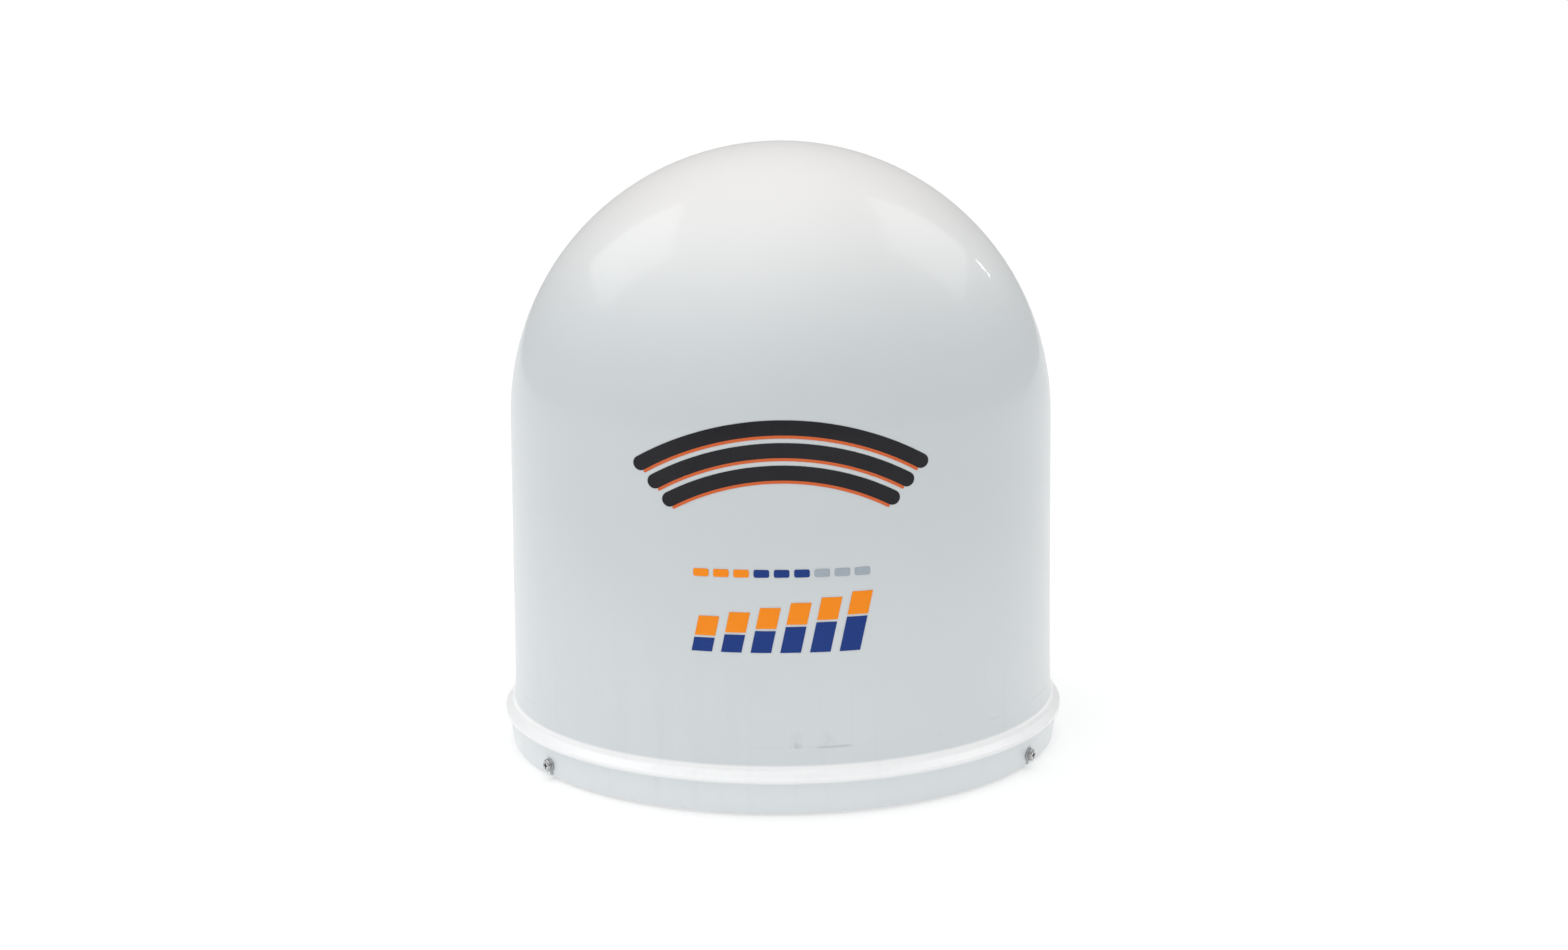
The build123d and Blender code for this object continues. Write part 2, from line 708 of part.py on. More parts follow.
def pocket_connectors():
    """The power inlet, Ethernet socket, vent and ground stud in the pocket's roof."""
    seal_z = POCKET_ROOF - SEAL_T
    flange_z = seal_z - FLANGE_T
    barrel_l = flange_z - MOUTH_Z

    with BuildPart() as inlet:
        column(Plane((POWER_X, POCKET_Y, flange_z)), POWER_FLANGE_R, FLANGE_T)
        column(Plane((POWER_X, POCKET_Y, MOUTH_Z)), POWER_BARREL_R, barrel_l)
        column(Plane((POWER_X, POCKET_Y, seal_z)), POWER_STEM_R, STEM_TOP - seal_z)
        bore(Plane((POWER_X, POCKET_Y, MOUTH_Z)), POWER_MOUTH_R, POWER_MOUTH_DEPTH)
        with BuildSketch(Plane((POWER_X, POCKET_Y, MOUTH_Z + CONTACT_INSET))):
            with PolarLocations(CONTACT_RING_R, CONTACT_COUNT):
                Circle(CONTACT_R)
        extrude(amount=CONTACT_L)
    save(inlet, "power_inlet")

    mouth_top = MOUTH_Z + LAN_MOUTH_DEPTH
    with BuildPart() as socket:
        column(Plane((LAN_X, POCKET_Y, flange_z)), LAN_FLANGE_R, FLANGE_T)
        column(Plane((LAN_X, POCKET_Y, MOUTH_Z)), LAN_BARREL_R, barrel_l)
        column(Plane((LAN_X, POCKET_Y, seal_z)), LAN_STEM_R, LAN_STEM_TOP - seal_z)
        column(Plane((LAN_X, POCKET_Y, LAN_STEM_TOP)), LAN_NECK_R, STEM_TOP - LAN_STEM_TOP)
        block(*LAN_MOUTH, MOUTH_Z, mouth_top, (LAN_X, POCKET_Y), mode=Mode.SUBTRACT)
        block(*LAN_KEY, MOUTH_Z, mouth_top, (LAN_X, POCKET_Y - LAN_KEY_OFFSET), mode=Mode.SUBTRACT)
    save(socket, "ethernet_socket")

    with BuildPart() as seals:
        with BuildSketch(Plane.XY.offset(seal_z)):
            with Locations((POWER_X, POCKET_Y)):
                Circle(POWER_FLANGE_R - SEAL_MARGIN)
                Circle(POWER_STEM_R + SLIP, mode=Mode.SUBTRACT)
            with Locations((LAN_X, POCKET_Y)):
                Circle(LAN_FLANGE_R - SEAL_MARGIN)
                Circle(LAN_STEM_R + SLIP, mode=Mode.SUBTRACT)
        extrude(amount=SEAL_T)
    save(seals, "connector_seals")

    vent_face = Plane((0, VENT_Y, POCKET_ROOF - VENT_H))
    with BuildPart() as vent:
        column(vent_face, VENT_R, VENT_H)
        vent_rim = vent.edges().group_by(Axis.Z)[0]
        fillet(vent_rim, VENT_ROUND)
        column(Plane((0, VENT_Y, POCKET_ROOF)), VENT_STEM_R, VENT_STEM_L)
        with BuildSketch(vent_face):
            with PolarLocations(VENT_HOLE_RING_R, VENT_HOLE_COUNT):
                Circle(VENT_HOLE_R)
        extrude(amount=VENT_HOLE_DEPTH, mode=Mode.SUBTRACT)
    save(vent, "pressure_vent")

    with BuildPart() as stud:
        with BuildSketch(Plane((0, GROUND_Y, POCKET_TOP))):
            hexagon(GROUND_AF)
        extrude(amount=GROUND_HEAD_H)
        column(Plane((0, GROUND_Y, POCKET_TOP)), GROUND_R, -GROUND_L)
    save(stud, "ground_stud")

    # Width across flats, thread radius, height and place of each nut
    nuts = [
        (17, POWER_STEM_R, 4, (POWER_X, POCKET_Y, POCKET_TOP)),
        (26, LAN_STEM_R, 4.5, (LAN_X, POCKET_Y, POCKET_TOP)),
        (12, VENT_STEM_R, 3.5, (0, VENT_Y, POCKET_TOP)),
    ]
    for drop in GROUND_NUT_DROPS:
        nuts.append((GROUND_AF, GROUND_R, GROUND_NUT_H, (0, GROUND_Y, POCKET_ROOF - drop)))
    with BuildPart() as panel_nuts:
        for across_flats, thread_r, height, place in nuts:
            with Locations(place):
                add(hex_nut(across_flats, thread_r + FIT, height).part)
    save(panel_nuts, "panel_nuts")


# Chassis plate and standoffs

def chassis():
    """The aluminium plate that carries the router and the aerials, with its standoffs and screws."""
    with BuildPart() as standoff:
        with BuildSketch(Plane.XY.offset(STANDOFF_FOOT_Z)):
            hexagon(STANDOFF_AF)
        extrude(amount=PLATE_Z - STANDOFF_FOOT_Z)
        column(Plane.XY.offset(STANDOFF_FOOT_Z), M5_R, -STANDOFF_STUD_L)
        bore(Plane.XY.offset(PLATE_Z - STANDOFF_TAP_L), M5_R + FIT, STANDOFF_TAP_L)
    save(placed(standoff, standoff_points(0)), "chassis_standoffs")

    with BuildPart() as plate:
        with BuildSketch(Plane.XY.offset(PLATE_Z)):
            Circle(PLATE_R)
            with Locations((0, POCKET_Y)):
                Circle(NOTCH_R, mode=Mode.SUBTRACT)
            with Locations((0, POCKET_Y + NOTCH_R)):
                Rectangle(2 * NOTCH_R, 2 * NOTCH_R, mode=Mode.SUBTRACT)
            with Locations((0, HANDLE_SLOT_Y)):
                SlotOverall(*HANDLE_SLOT, mode=Mode.SUBTRACT)
            with Locations(*standoff_points(0)):
                Circle(M5_R + GAP, mode=Mode.SUBTRACT)
            with Locations(*ear_points(0)):
                Circle(M4_R + CLEAR, mode=Mode.SUBTRACT)
            with Locations(*lte_screw_points(0)):
                Circle(M4_R + FIT, mode=Mode.SUBTRACT)
        extrude(amount=PLATE_TOP - PLATE_Z)
        chamfer(plate.edges().group_by(Axis.Z)[-1].sort_by(SortBy.LENGTH)[-1], PLATE_CHAMFER)
    save(plate, "chassis_plate")
    save(placed(pan_screw(M5_R, 12, 4.8, 3.2), standoff_points(PLATE_TOP)), "chassis_screws")


def ear_points(z):
    """The four router fixings at height z."""
    return [(side * EAR_X, y, z) for side in (-1, 1) for y in EAR_YS]


def lte_screw_points(z):
    """The two fixings of each LTE aerial foot at height z."""
    steps = (-LTE_SCREW_STEP, LTE_SCREW_STEP)
    return [(side * (LTE_X + step), 0, z) for side in (-1, 1) for step in steps]


# Router

def router_case():
    """Case tray with its ears, posts and panel openings, and the lid with its vents."""
    depth = CASE_Y1 - CASE_Y0
    middle = (0, (CASE_Y0 + CASE_Y1) / 2)
    inner_x = CASE_X - 2 * CASE_WALL
    inner_y = depth - 2 * CASE_WALL
    with BuildPart() as tray:
        block(CASE_X, depth, CASE_Z, CASE_SPLIT_Z, middle, CASE_CORNER)
        floor_z = CASE_Z + CASE_WALL
        block(inner_x, inner_y, floor_z, CASE_SPLIT_Z, middle, CASE_CORNER - CASE_WALL, Mode.SUBTRACT)
        with BuildSketch(Plane.XY.offset(CASE_Z)):
            with Locations(*[(side * (CASE_X / 2 + EAR_REACH), y) for side in (-1, 1) for y in EAR_YS]):
                RectangleRounded(*EAR_SIZE, EAR_CORNER)
            with Locations(middle):
                Rectangle(inner_x, inner_y, mode=Mode.SUBTRACT)
        extrude(amount=EAR_T)
        for x, y, z in ear_points(CASE_Z):
            bore(Plane((x, y, z)), M4_R + GAP, EAR_T)
        for x, y in BOARD_POSTS:
            column(Plane((x, y, floor_z)), BOARD_POST_R, BOARD_Z - floor_z)
            bore(Plane((x, y, BOARD_Z - BOARD_TAP_L)), BOARD_SCREW_R + FIT, BOARD_TAP_L)
        for x, y in LID_POSTS:
            column(Plane((x, y, floor_z)), LID_POST_R, LID_POST_L)
            bore(Plane((x, y, floor_z + LID_POST_L - LID_TAP_L)), M3_R + FIT, LID_TAP_L)
        front = Plane(origin=(0, CASE_Y0 + CASE_WALL, PANEL_Z), x_dir=(1, 0, 0), z_dir=(0, -1, 0))
        with BuildSketch(front):
            with Locations(*[(x, 0) for x in SIM_XS.values()]):
                Rectangle(SIM_TRAY_W + 1.2, SIM_TRAY_T + 1.2)
            with Locations((RESET_X, 0)):
                Circle(RESET_R + GAP)
            with Locations(*[(x, 0) for x in LED_XS]):
                Circle(LED_R + FIT)
        extrude(amount=CASE_WALL, mode=Mode.SUBTRACT)
        rear = Plane(origin=(0, CASE_Y1, JACK_Z), x_dir=(1, 0, 0), z_dir=(0, -1, 0))
        with BuildSketch(rear):
            with Locations(*[(x, 0) for x in jack_xs()]):
                Circle(SMA_R + SLIP)
            with Locations((POWER_X, 0)):
                Circle(POWER_HOLE_R)
            with Locations((LAN_X, 0)):
                Rectangle(*LAN_HOLE)
        extrude(amount=CASE_WALL, mode=Mode.SUBTRACT)
    save(tray, "router_case")

    lip_x = inner_x - 2 * CLEAR
    lip_y = inner_y - 2 * CLEAR
    lip_z = CASE_SPLIT_Z - LID_LIP_H
    lid_inside_z = CASE_TOP - LID_TOP_T
    lip_bore = (lip_x - 2 * LID_LIP_T, lip_y - 2 * LID_LIP_T)
    with BuildPart() as lid:
        block(CASE_X, depth, CASE_SPLIT_Z, CASE_TOP, middle, CASE_CORNER)
        fillet(lid.faces().sort_by(Axis.Z)[-1].edges(), LID_ROUND)
        block(lip_x, lip_y, lip_z, CASE_SPLIT_Z, middle, CASE_CORNER - CASE_WALL)
        block(*lip_bore, lip_z, lid_inside_z, middle, LID_LIP_CORNER, Mode.SUBTRACT)
        for x, y in LID_POSTS:
            column(Plane((x, y, lip_z)), LID_POST_R - GAP, CASE_TOP - lip_z)
            bore(Plane((x, y, lip_z)), M3_R + SLIP, CASE_TOP - lip_z)
        with BuildSketch(Plane.XY.offset(lid_inside_z)):
            with Locations(middle):
                with GridLocations(*LOUVRE_PITCH, *LOUVRE_GRID):
                    SlotOverall(*LOUVRE)
        extrude(amount=LID_TOP_T, mode=Mode.SUBTRACT)
    save(lid, "router_lid")
    with BuildPart() as case_screws:
        with Locations(*[(x, y, CASE_TOP) for x, y in LID_POSTS]):
            add(pan_screw(M3_R, 18, 2.8, 1.8).part)
        with Locations(*[(x, y, BOARD_TOP) for x, y in BOARD_POSTS]):
            add(pan_screw(BOARD_SCREW_R, 4, 2.5, 1.6).part)
    save(case_screws, "router_case_screws")

    with BuildPart() as grommet:
        column(Plane.XY.offset(PLATE_TOP), 6.5, CASE_Z - PLATE_TOP)
        fillet(grommet.edges().filter_by(GeomType.CIRCLE), 1.2)
        bore(Plane.XY.offset(PLATE_TOP), M4_R + GAP, CASE_Z - PLATE_TOP)
    save(placed(grommet, ear_points(0)), "router_grommets")
    with BuildPart() as plate_screws:
        with Locations(*ear_points(CASE_Z + EAR_T)):
            add(pan_screw(M4_R, 16, 3.9, 2.4).part)
        with Locations(*lte_screw_points(LTE_FOOT_Z)):
            add(pan_screw(M4_R, 9, 3.9, 2.4).part)
    save(plate_screws, "plate_screws")
    save(placed(hex_nut(7, M4_R + FIT, 3.2), ear_points(PLATE_Z - 3.2)), "router_nuts")


def jack_xs():
    """The four aerial sockets across the rear panel."""
    return [side * x for x in (WIFI_X, LTE_JACK_X) for side in (-1, 1)]


def router_board():
    """The circuit board and the components that stand on it."""
    with BuildPart() as board:
        with BuildSketch(Plane.XY.offset(BOARD_Z)):
            with Locations((0, (BOARD_Y0 + BOARD_Y1) / 2)):
                Rectangle(BOARD_X, BOARD_Y1 - BOARD_Y0)
            with Locations(*BOARD_POSTS):
                Circle(BOARD_HOLE_R, mode=Mode.SUBTRACT)
        extrude(amount=BOARD_TOP - BOARD_Z)
    save(board, "main_board")

    pad_z = BOARD_TOP + SHIELD_H
    sink_z = pad_z + PAD_H
    with BuildPart() as shield:
        block(SHIELD_W, SHIELD_W, BOARD_TOP, pad_z, PROCESSOR_AT)
        fillet(shield.faces().sort_by(Axis.Z)[-1].edges(), SHIELD_ROUND)
    save(shield, "processor_shield")
    with BuildPart() as pad:
        block(PAD_W, PAD_W, pad_z, sink_z, PROCESSOR_AT)
    save(pad, "thermal_pad")
    with BuildPart() as sink:
        block(SINK_W, SINK_W, sink_z, sink_z + SINK_BASE_H, PROCESSOR_AT)
        with BuildSketch(Plane.XY.offset(sink_z + SINK_BASE_H)):
            with Locations(PROCESSOR_AT):
                with GridLocations(FIN_PITCH, 1, FIN_COUNT, 1):
                    Rectangle(FIN_T, SINK_W)
        extrude(amount=FIN_H)
    save(sink, "heat_sink")

    card_z = BOARD_TOP + MODEM_CARD_LIFT
    with BuildPart() as sockets:
        block(32, 7, BOARD_TOP, card_z + 1.8, (MODEM_X, -32.5))
        block(30.4, 4, card_z - 0.1, card_z + 1.3, (MODEM_X, -31), mode=Mode.SUBTRACT)
        for x in SIM_XS.values():
            block(20, 28, BOARD_TOP, BOARD_TOP + 3.6, (x, SIM_HOLDER_Y))
            block(17.8, 27, PANEL_Z - 1.2, PANEL_Z + 1.2, (x, SIM_HOLDER_Y - 0.5), mode=Mode.SUBTRACT)
    save(sockets, "card_sockets")
    with BuildPart() as card:
        block(30, 51, card_z, card_z + MODEM_CARD_T, (MODEM_X, -7.3))
        block(26, 36, card_z + MODEM_CARD_T, card_z + 3 * MODEM_CARD_T, (MODEM_X, -5))
        for x in (MODEM_X - 12, MODEM_X + 12):
            column(Plane((x, 15, BOARD_TOP)), 2.2, MODEM_CARD_LIFT)
    save(card, "modem_card")

    with BuildPart() as jacks:
        for x in jack_xs():
            block(7, 10, BOARD_TOP, BOARD_TOP + 9, (x, 27.8))
            jack_back = Plane(origin=(x, JACK_BACK_Y, JACK_Z), z_dir=(0, 1, 0))
            column(jack_back, SMA_R, CASE_Y1 - JACK_BACK_Y + JACK_REACH)
    save(jacks, "aerial_jacks")
    with BuildPart() as panel_jacks:
        block(9, 12.8, BOARD_TOP, BOARD_TOP + 10.4, (POWER_X, 26.4))
        bore(Plane(origin=(POWER_X, JACK_BACK_Y, JACK_Z), z_dir=(0, -1, 0)), 2.9, 10)
        block(16, 21, BOARD_TOP, BOARD_TOP + 13, (LAN_X, 22.3))
        block(12.2, 14, JACK_Z - 4.3, JACK_Z + 4.3, (LAN_X, 25.8), mode=Mode.SUBTRACT)
    save(panel_jacks, "panel_jacks")


def router_controls():
    """The SIM trays and cards, the reset button with its switch, and the light pipe."""
    tray_end = -45.5
    fascia_y = CASE_Y0 - GAP
    fascia_t = 1.4
    card_w, card_l, card_t = SIM_CARD
    floor_z = PANEL_Z + SIM_TRAY_T / 2 - card_t - 0.1
    card_y = tray_end - 1.4 - card_l / 2
    for side, x in SIM_XS.items():
        with BuildPart() as tray:
            length = tray_end - fascia_y
            low = PANEL_Z - SIM_TRAY_T / 2
            block(SIM_TRAY_W, length, low, low + SIM_TRAY_T, (x, tray_end - length / 2))
            block(21, fascia_t, PANEL_Z - 2.6, PANEL_Z + 2.6, (x, fascia_y - fascia_t / 2))
            fillet(tray.faces().sort_by(Axis.Y)[0].edges(), 0.5)
            block(card_w + 0.3, card_l + 0.3, floor_z, low + SIM_TRAY_T, (x, card_y), 0.0, Mode.SUBTRACT)
        save(tray, f"sim_tray_{side}")
        with BuildPart() as card:
            block(card_w, card_l, floor_z + 0.02, floor_z + 0.02 + card_t, (x, card_y), 1.0)
        save(card, f"sim_card_{side}")

    button_plane = Plane(origin=(RESET_X, CASE_Y0 - 1.6, PANEL_Z), z_dir=(0, 1, 0))
    with BuildPart() as button:
        column(button_plane, RESET_R, 5.0)
        fillet(button.edges().group_by(Axis.Y)[0], 0.4)
        column(button_plane.offset(4.0), RESET_R + 0.9, 1.0)
        column(button_plane.offset(5.0), RESET_PLUNGER_R, 1.6)
    save(button, "reset_button")
    with BuildPart() as switch:
        block(6, 6.8, BOARD_TOP, BOARD_TOP + 4, (RESET_X, -65.4))
    save(switch, "reset_switch")

    with BuildPart() as pipe:
        for x in LED_XS:
            column(Plane(origin=(x, CASE_Y0 - 0.4, PANEL_Z), z_dir=(0, 1, 0)), LED_R, 5.4)
        block(30, 2.5, PANEL_Z - 1.5, PANEL_Z + 1.5, (sum(LED_XS) / len(LED_XS), -71.5))
    save(pipe, "light_pipe")


# Wi-Fi aerials

def wifi_collars():
    """The two collars that screw onto the outer sockets."""
    with BuildPart() as collars:
        for x in (-WIFI_X, WIFI_X):
            at = Plane(origin=(x, COLLAR_Y, JACK_Z), z_dir=(0, 1, 0))
            with BuildSketch(at):
                hexagon(9)
            extrude(amount=COLLAR_L)
            bore(at, SMA_R + FIT, 8.4)
            bore(at, COLLAR_BORE_R, COLLAR_L)
    save(collars, "wifi_collars")


def wifi_aerial(side, x):
    """One rear-panel aerial: swivelling knuckle, hinge pin and tilting paddle."""
    collar_end = COLLAR_Y + COLLAR_L
    fork_y = HINGE_Y - 6.2
    along = (0, 1, 0)
    hinge = Plane(origin=(x - FORK_OUT, HINGE_Y, JACK_Z), z_dir=(1, 0, 0), x_dir=along)
    with BuildPart() as knuckle:
        column(Plane(origin=(x, collar_end + GAP, JACK_Z), z_dir=along), HINGE_R, fork_y - collar_end - GAP)
        column(Plane(origin=(x, collar_end + GAP, JACK_Z), z_dir=along), COLLAR_BORE_R - FIT, -2.4)
        with BuildSketch(hinge):
            Circle(HINGE_R)
            with Locations((-(HINGE_Y - fork_y) / 2, 0)):
                Rectangle(HINGE_Y - fork_y, 2 * HINGE_R)
        extrude(amount=2 * FORK_OUT)
        with BuildSketch(Plane.XY.offset(JACK_Z - 10)):
            with Locations((x, fork_y + 10)):
                Rectangle(2 * FORK_IN, 20)
        extrude(amount=20, mode=Mode.SUBTRACT)
        bore(hinge, HINGE_PIN_R + FIT, 2 * FORK_OUT)
    save(knuckle, f"wifi_knuckle_{side}")

    neck_z = JACK_Z + HINGE_R + 0.8
    blade_z = JACK_Z + BLADE_RISE
    top_z = JACK_Z + PADDLE_L
    with BuildPart() as paddle:
        with BuildSketch(Plane(origin=(x - EYE_HALF, HINGE_Y, JACK_Z), z_dir=(1, 0, 0), x_dir=along)):
            Circle(HINGE_R)
            with Locations((0, HINGE_R / 2 + 1)):
                Rectangle(8, HINGE_R + 2)
        extrude(amount=2 * EYE_HALF)
        with BuildSketch(Plane((x, HINGE_Y, neck_z))):
            RectangleRounded(*NECK_SIZE, NECK_CORNER)
        with BuildSketch(Plane((x, HINGE_Y, blade_z))):
            RectangleRounded(*BLADE_SIZE, BLADE_CORNER)
        loft()
        with BuildSketch(Plane((x, HINGE_Y, blade_z))):
            RectangleRounded(*BLADE_SIZE, BLADE_CORNER)
        with BuildSketch(Plane((x, HINGE_Y, top_z))):
            RectangleRounded(*TIP_SIZE, TIP_CORNER)
        loft()
        fillet(paddle.faces().sort_by(Axis.Z)[-1].edges(), TIP_ROUND)
        bore(hinge, HINGE_PIN_R + FIT, 2 * FORK_OUT)
    save(paddle, f"wifi_paddle_{side}")

    with BuildPart() as pin:
        column(hinge, HINGE_PIN_R, 2 * FORK_OUT)
    save(pin, f"wifi_hinge_pin_{side}")


# LTE aerials

def lte_aerials():
    """Both LTE aerials: screwed feet with side glands, metal ferrules, tubes and inner radiators."""
    with BuildPart() as foot:
        with BuildSketch(Plane.XY.offset(PLATE_TOP)):
            SlotOverall(*LTE_FOOT_SIZE)
        extrude(amount=LTE_FOOT_Z - PLATE_TOP)
        column(Plane.XY.offset(LTE_FOOT_Z), LTE_HUB_R, LTE_HUB_TOP - LTE_FOOT_Z)
        fillet(foot.edges().filter_by(GeomType.CIRCLE).group_by(Axis.Z)[-1], LTE_HUB_ROUND)
        column(Plane(origin=(0, 0, LTE_LEAD_Z), z_dir=(0, 1, 0)), LTE_GLAND_R, LTE_GLAND_Y)
        for x in (-LTE_SCREW_STEP, LTE_SCREW_STEP):
            bore(Plane((x, 0, PLATE_TOP)), M4_R + CLEAR, LTE_FOOT_Z - PLATE_TOP)
            bore(Plane((x, 0, LTE_FOOT_Z)), LTE_HEAD_POCKET_R, LTE_HUB_TOP - LTE_FOOT_Z)
        gland = Plane(origin=(0, LTE_GLAND_Y, LTE_LEAD_Z), z_dir=(0, -1, 0))
        bore(gland, COAX_R + FIT, LTE_GLAND_DEPTH)
    save(placed(foot, LTE_PLACES), "lte_feet")

    with BuildPart() as ferrule:
        with BuildSketch(Plane.XY.offset(LTE_HUB_TOP)):
            hexagon(FERRULE_AF)
        extrude(amount=FERRULE_HEX_H)
        column(Plane.XY.offset(LTE_HUB_TOP + FERRULE_HEX_H), FERRULE_R, FERRULE_NECK_H)
        chamfer(ferrule.edges().filter_by(GeomType.CIRCLE).group_by(Axis.Z)[-1], FERRULE_CHAMFER)
        bore(Plane.XY.offset(LTE_TUBE_Z), LTE_TUBE_R + FIT, FERRULE_NECK_H)
    save(placed(ferrule, LTE_PLACES), "lte_ferrules")

    tube_l = LTE_TUBE_TOP - LTE_TUBE_Z
    with BuildPart() as tube:
        column(Plane.XY.offset(LTE_TUBE_Z), LTE_TUBE_R, tube_l)
        fillet(tube.edges().group_by(Axis.Z)[-1], TUBE_ROUND)
        bore(Plane.XY.offset(LTE_TUBE_Z), LTE_TUBE_R - TUBE_WALL, tube_l - TUBE_CAP_T)
    save(placed(tube, LTE_PLACES), "lte_tubes")

    with BuildPart() as radiator:
        column(Plane.XY.offset(LTE_TUBE_Z), RADIATOR_R, RADIATOR_L)
        column(Plane.XY.offset(LTE_TUBE_Z + SLEEVE_RISE), SLEEVE_R, SLEEVE_L)
    save(placed(radiator, LTE_PLACES), "lte_radiators")


# Leads inside the dome

def leads():
    """The four internal leads, with their plugs, and the clips that hold the coaxial ones."""
    plug_end = CASE_Y1 + 17
    lte_route = [
        (LTE_X, LTE_GLAND_Y - 2, LTE_LEAD_Z),
        (LTE_X, 50, LTE_LEAD_Z),
        (111, 80, 75),
        (89, 101, 77),
        (62, 103, 80),
        (44, 88, 84),
        (LTE_JACK_X, 72, JACK_Z),
        (LTE_JACK_X, plug_end, JACK_Z),
    ]
    one_lead = lead(lte_route, COAX_R, "lte_leads")
    with BuildPart() as lte_leads:
        add(one_lead.part)
        mirror(one_lead.part, about=Plane.YZ)
    save(lte_leads, "lte_leads")

    behind = {"z_dir": (0, 1, 0)}
    with BuildPart() as plugs:
        for sign in (-1, 1):
            at = Plane(origin=(sign * LTE_JACK_X, CASE_Y1 + 2, JACK_Z), **behind)
            with BuildSketch(at):
                hexagon(8)
            extrude(amount=9)
            column(at.offset(9), 3.2, plug_end - CASE_Y1 - 11)
            bore(at, SMA_R + FIT, 8.4)
    save(plugs, "lte_lead_plugs")

    with BuildPart() as clips:
        for sign in (-1, 1):
            with BuildSketch(Plane(origin=(sign * LTE_X, 25, PLATE_TOP), z_dir=(0, 1, 0), x_dir=(1, 0, 0))):
                with Locations((0, -3.5)):
                    Rectangle(8, 7)
                with Locations((0, -7)):
                    Circle(4)
                with Locations((0, -(LTE_LEAD_Z - PLATE_TOP))):
                    Circle(COAX_R + FIT, mode=Mode.SUBTRACT)
            extrude(amount=7)
    save(clips, "lead_clips")

    power_route = [
        (POWER_X, POCKET_Y, STEM_TOP),
        (POWER_X, POCKET_Y, 73),
        (POWER_X, 82, JACK_Z),
        (POWER_X, CASE_Y1 + 20, JACK_Z),
    ]
    save(lead(power_route, POWER_LEAD_R, "power_lead"), "power_lead")
    with BuildPart() as power_plug:
        at = Plane(origin=(POWER_X, 23.5, JACK_Z), **behind)
        column(at, 2.75, 13)
        column(at.offset(12.7), 5, 11.3)
        column(at.offset(24), 3.2, 7.5)
    save(power_plug, "power_plug")

    lan_route = [
        (LAN_X, POCKET_Y, STEM_TOP),
        (LAN_X, POCKET_Y, 73),
        (LAN_X, 82, JACK_Z),
        (LAN_X, CASE_Y1 + 18, JACK_Z),
    ]
    save(lead(lan_route, LAN_LEAD_R, "ethernet_lead"), "ethernet_lead")
    with BuildPart() as lan_plug:
        block(11.6, 16.2, JACK_Z - 4, JACK_Z + 4, (LAN_X, 28.1))
        block(12.4, 10, JACK_Z - 4.6, JACK_Z + 4.6, (LAN_X, 41.2), 1.5)
        block(8, 7, JACK_Z - 3.4, JACK_Z + 3.4, (LAN_X, 49.5), 1.5)
    save(lan_plug, "ethernet_plug")


def main():
    save(radome_shell(), "radome_shell")
    vinyl_marks()
    save(base_tray(), "base_tray")
    rim_hardware()
    save(mounting_inserts(), "mounting_inserts")
    pocket_connectors()
    chassis()
    router_case()
    router_board()
    router_controls()
    wifi_collars()
    wifi_aerial("left", -WIFI_X)
    wifi_aerial("right", WIFI_X)
    lte_aerials()
    leads()


main()
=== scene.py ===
import json
from math import cos, radians, sin

import bpy
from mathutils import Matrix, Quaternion, Vector

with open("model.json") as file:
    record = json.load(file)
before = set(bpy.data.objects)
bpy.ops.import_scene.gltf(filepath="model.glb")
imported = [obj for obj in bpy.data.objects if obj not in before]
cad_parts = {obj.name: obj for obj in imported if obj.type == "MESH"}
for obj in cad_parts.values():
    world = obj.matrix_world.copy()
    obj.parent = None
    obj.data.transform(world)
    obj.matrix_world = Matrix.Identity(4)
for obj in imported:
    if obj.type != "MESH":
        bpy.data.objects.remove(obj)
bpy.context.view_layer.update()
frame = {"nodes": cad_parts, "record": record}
nodes = frame["nodes"]
scene = bpy.context.scene

# Places on the object, in metres
DOME_CENTRE_Z = 0.2235
LEDGE_Z = 0.0272
SKIRT_TOP_Z = 0.0242
GRIME_Z = 0.0428
GRIME_TOP_Z = 0.0535
GRIME_FOOT_X = 0.023
STREAK_XS = (0.0, 0.0196)
SCREW_TURN = radians(55)
SCREW_Z = 0.0097
SCREW_RECESS_R = 0.19345
SCREW_RECESS_HALF = 0.00235
CARD_Y = -0.0594
CONTACTS_HALF_X = 0.0052
CONTACTS_HALF_Y = 0.0058
CARD_XS = {"left": -0.038, "right": -0.012}

# Camera
VIEW_TURN = radians(-2.5)
VIEW_RISE = radians(9.81)
VIEW_DISTANCE = 1.295
VIEW_TARGET = Vector((0.0, 0.0, 0.1793))
VIEW_ASIDE = 0.0019
VIEW_ROLL = radians(-0.47)
LENS = 42.73
SENSOR = 36.0

# Light
SKY_BASE = 0.46
SKY_SHARPNESS = 4.0
OVERHEAD_PEAK = 0.98
FRONT_PEAK = 0.65
FRONT_RISE = radians(60)
FRONT_TURN = radians(-40)
FLOOR_GLOW = 0.475
BOX_TARGET = Vector((0.0, 0.0, 0.25))


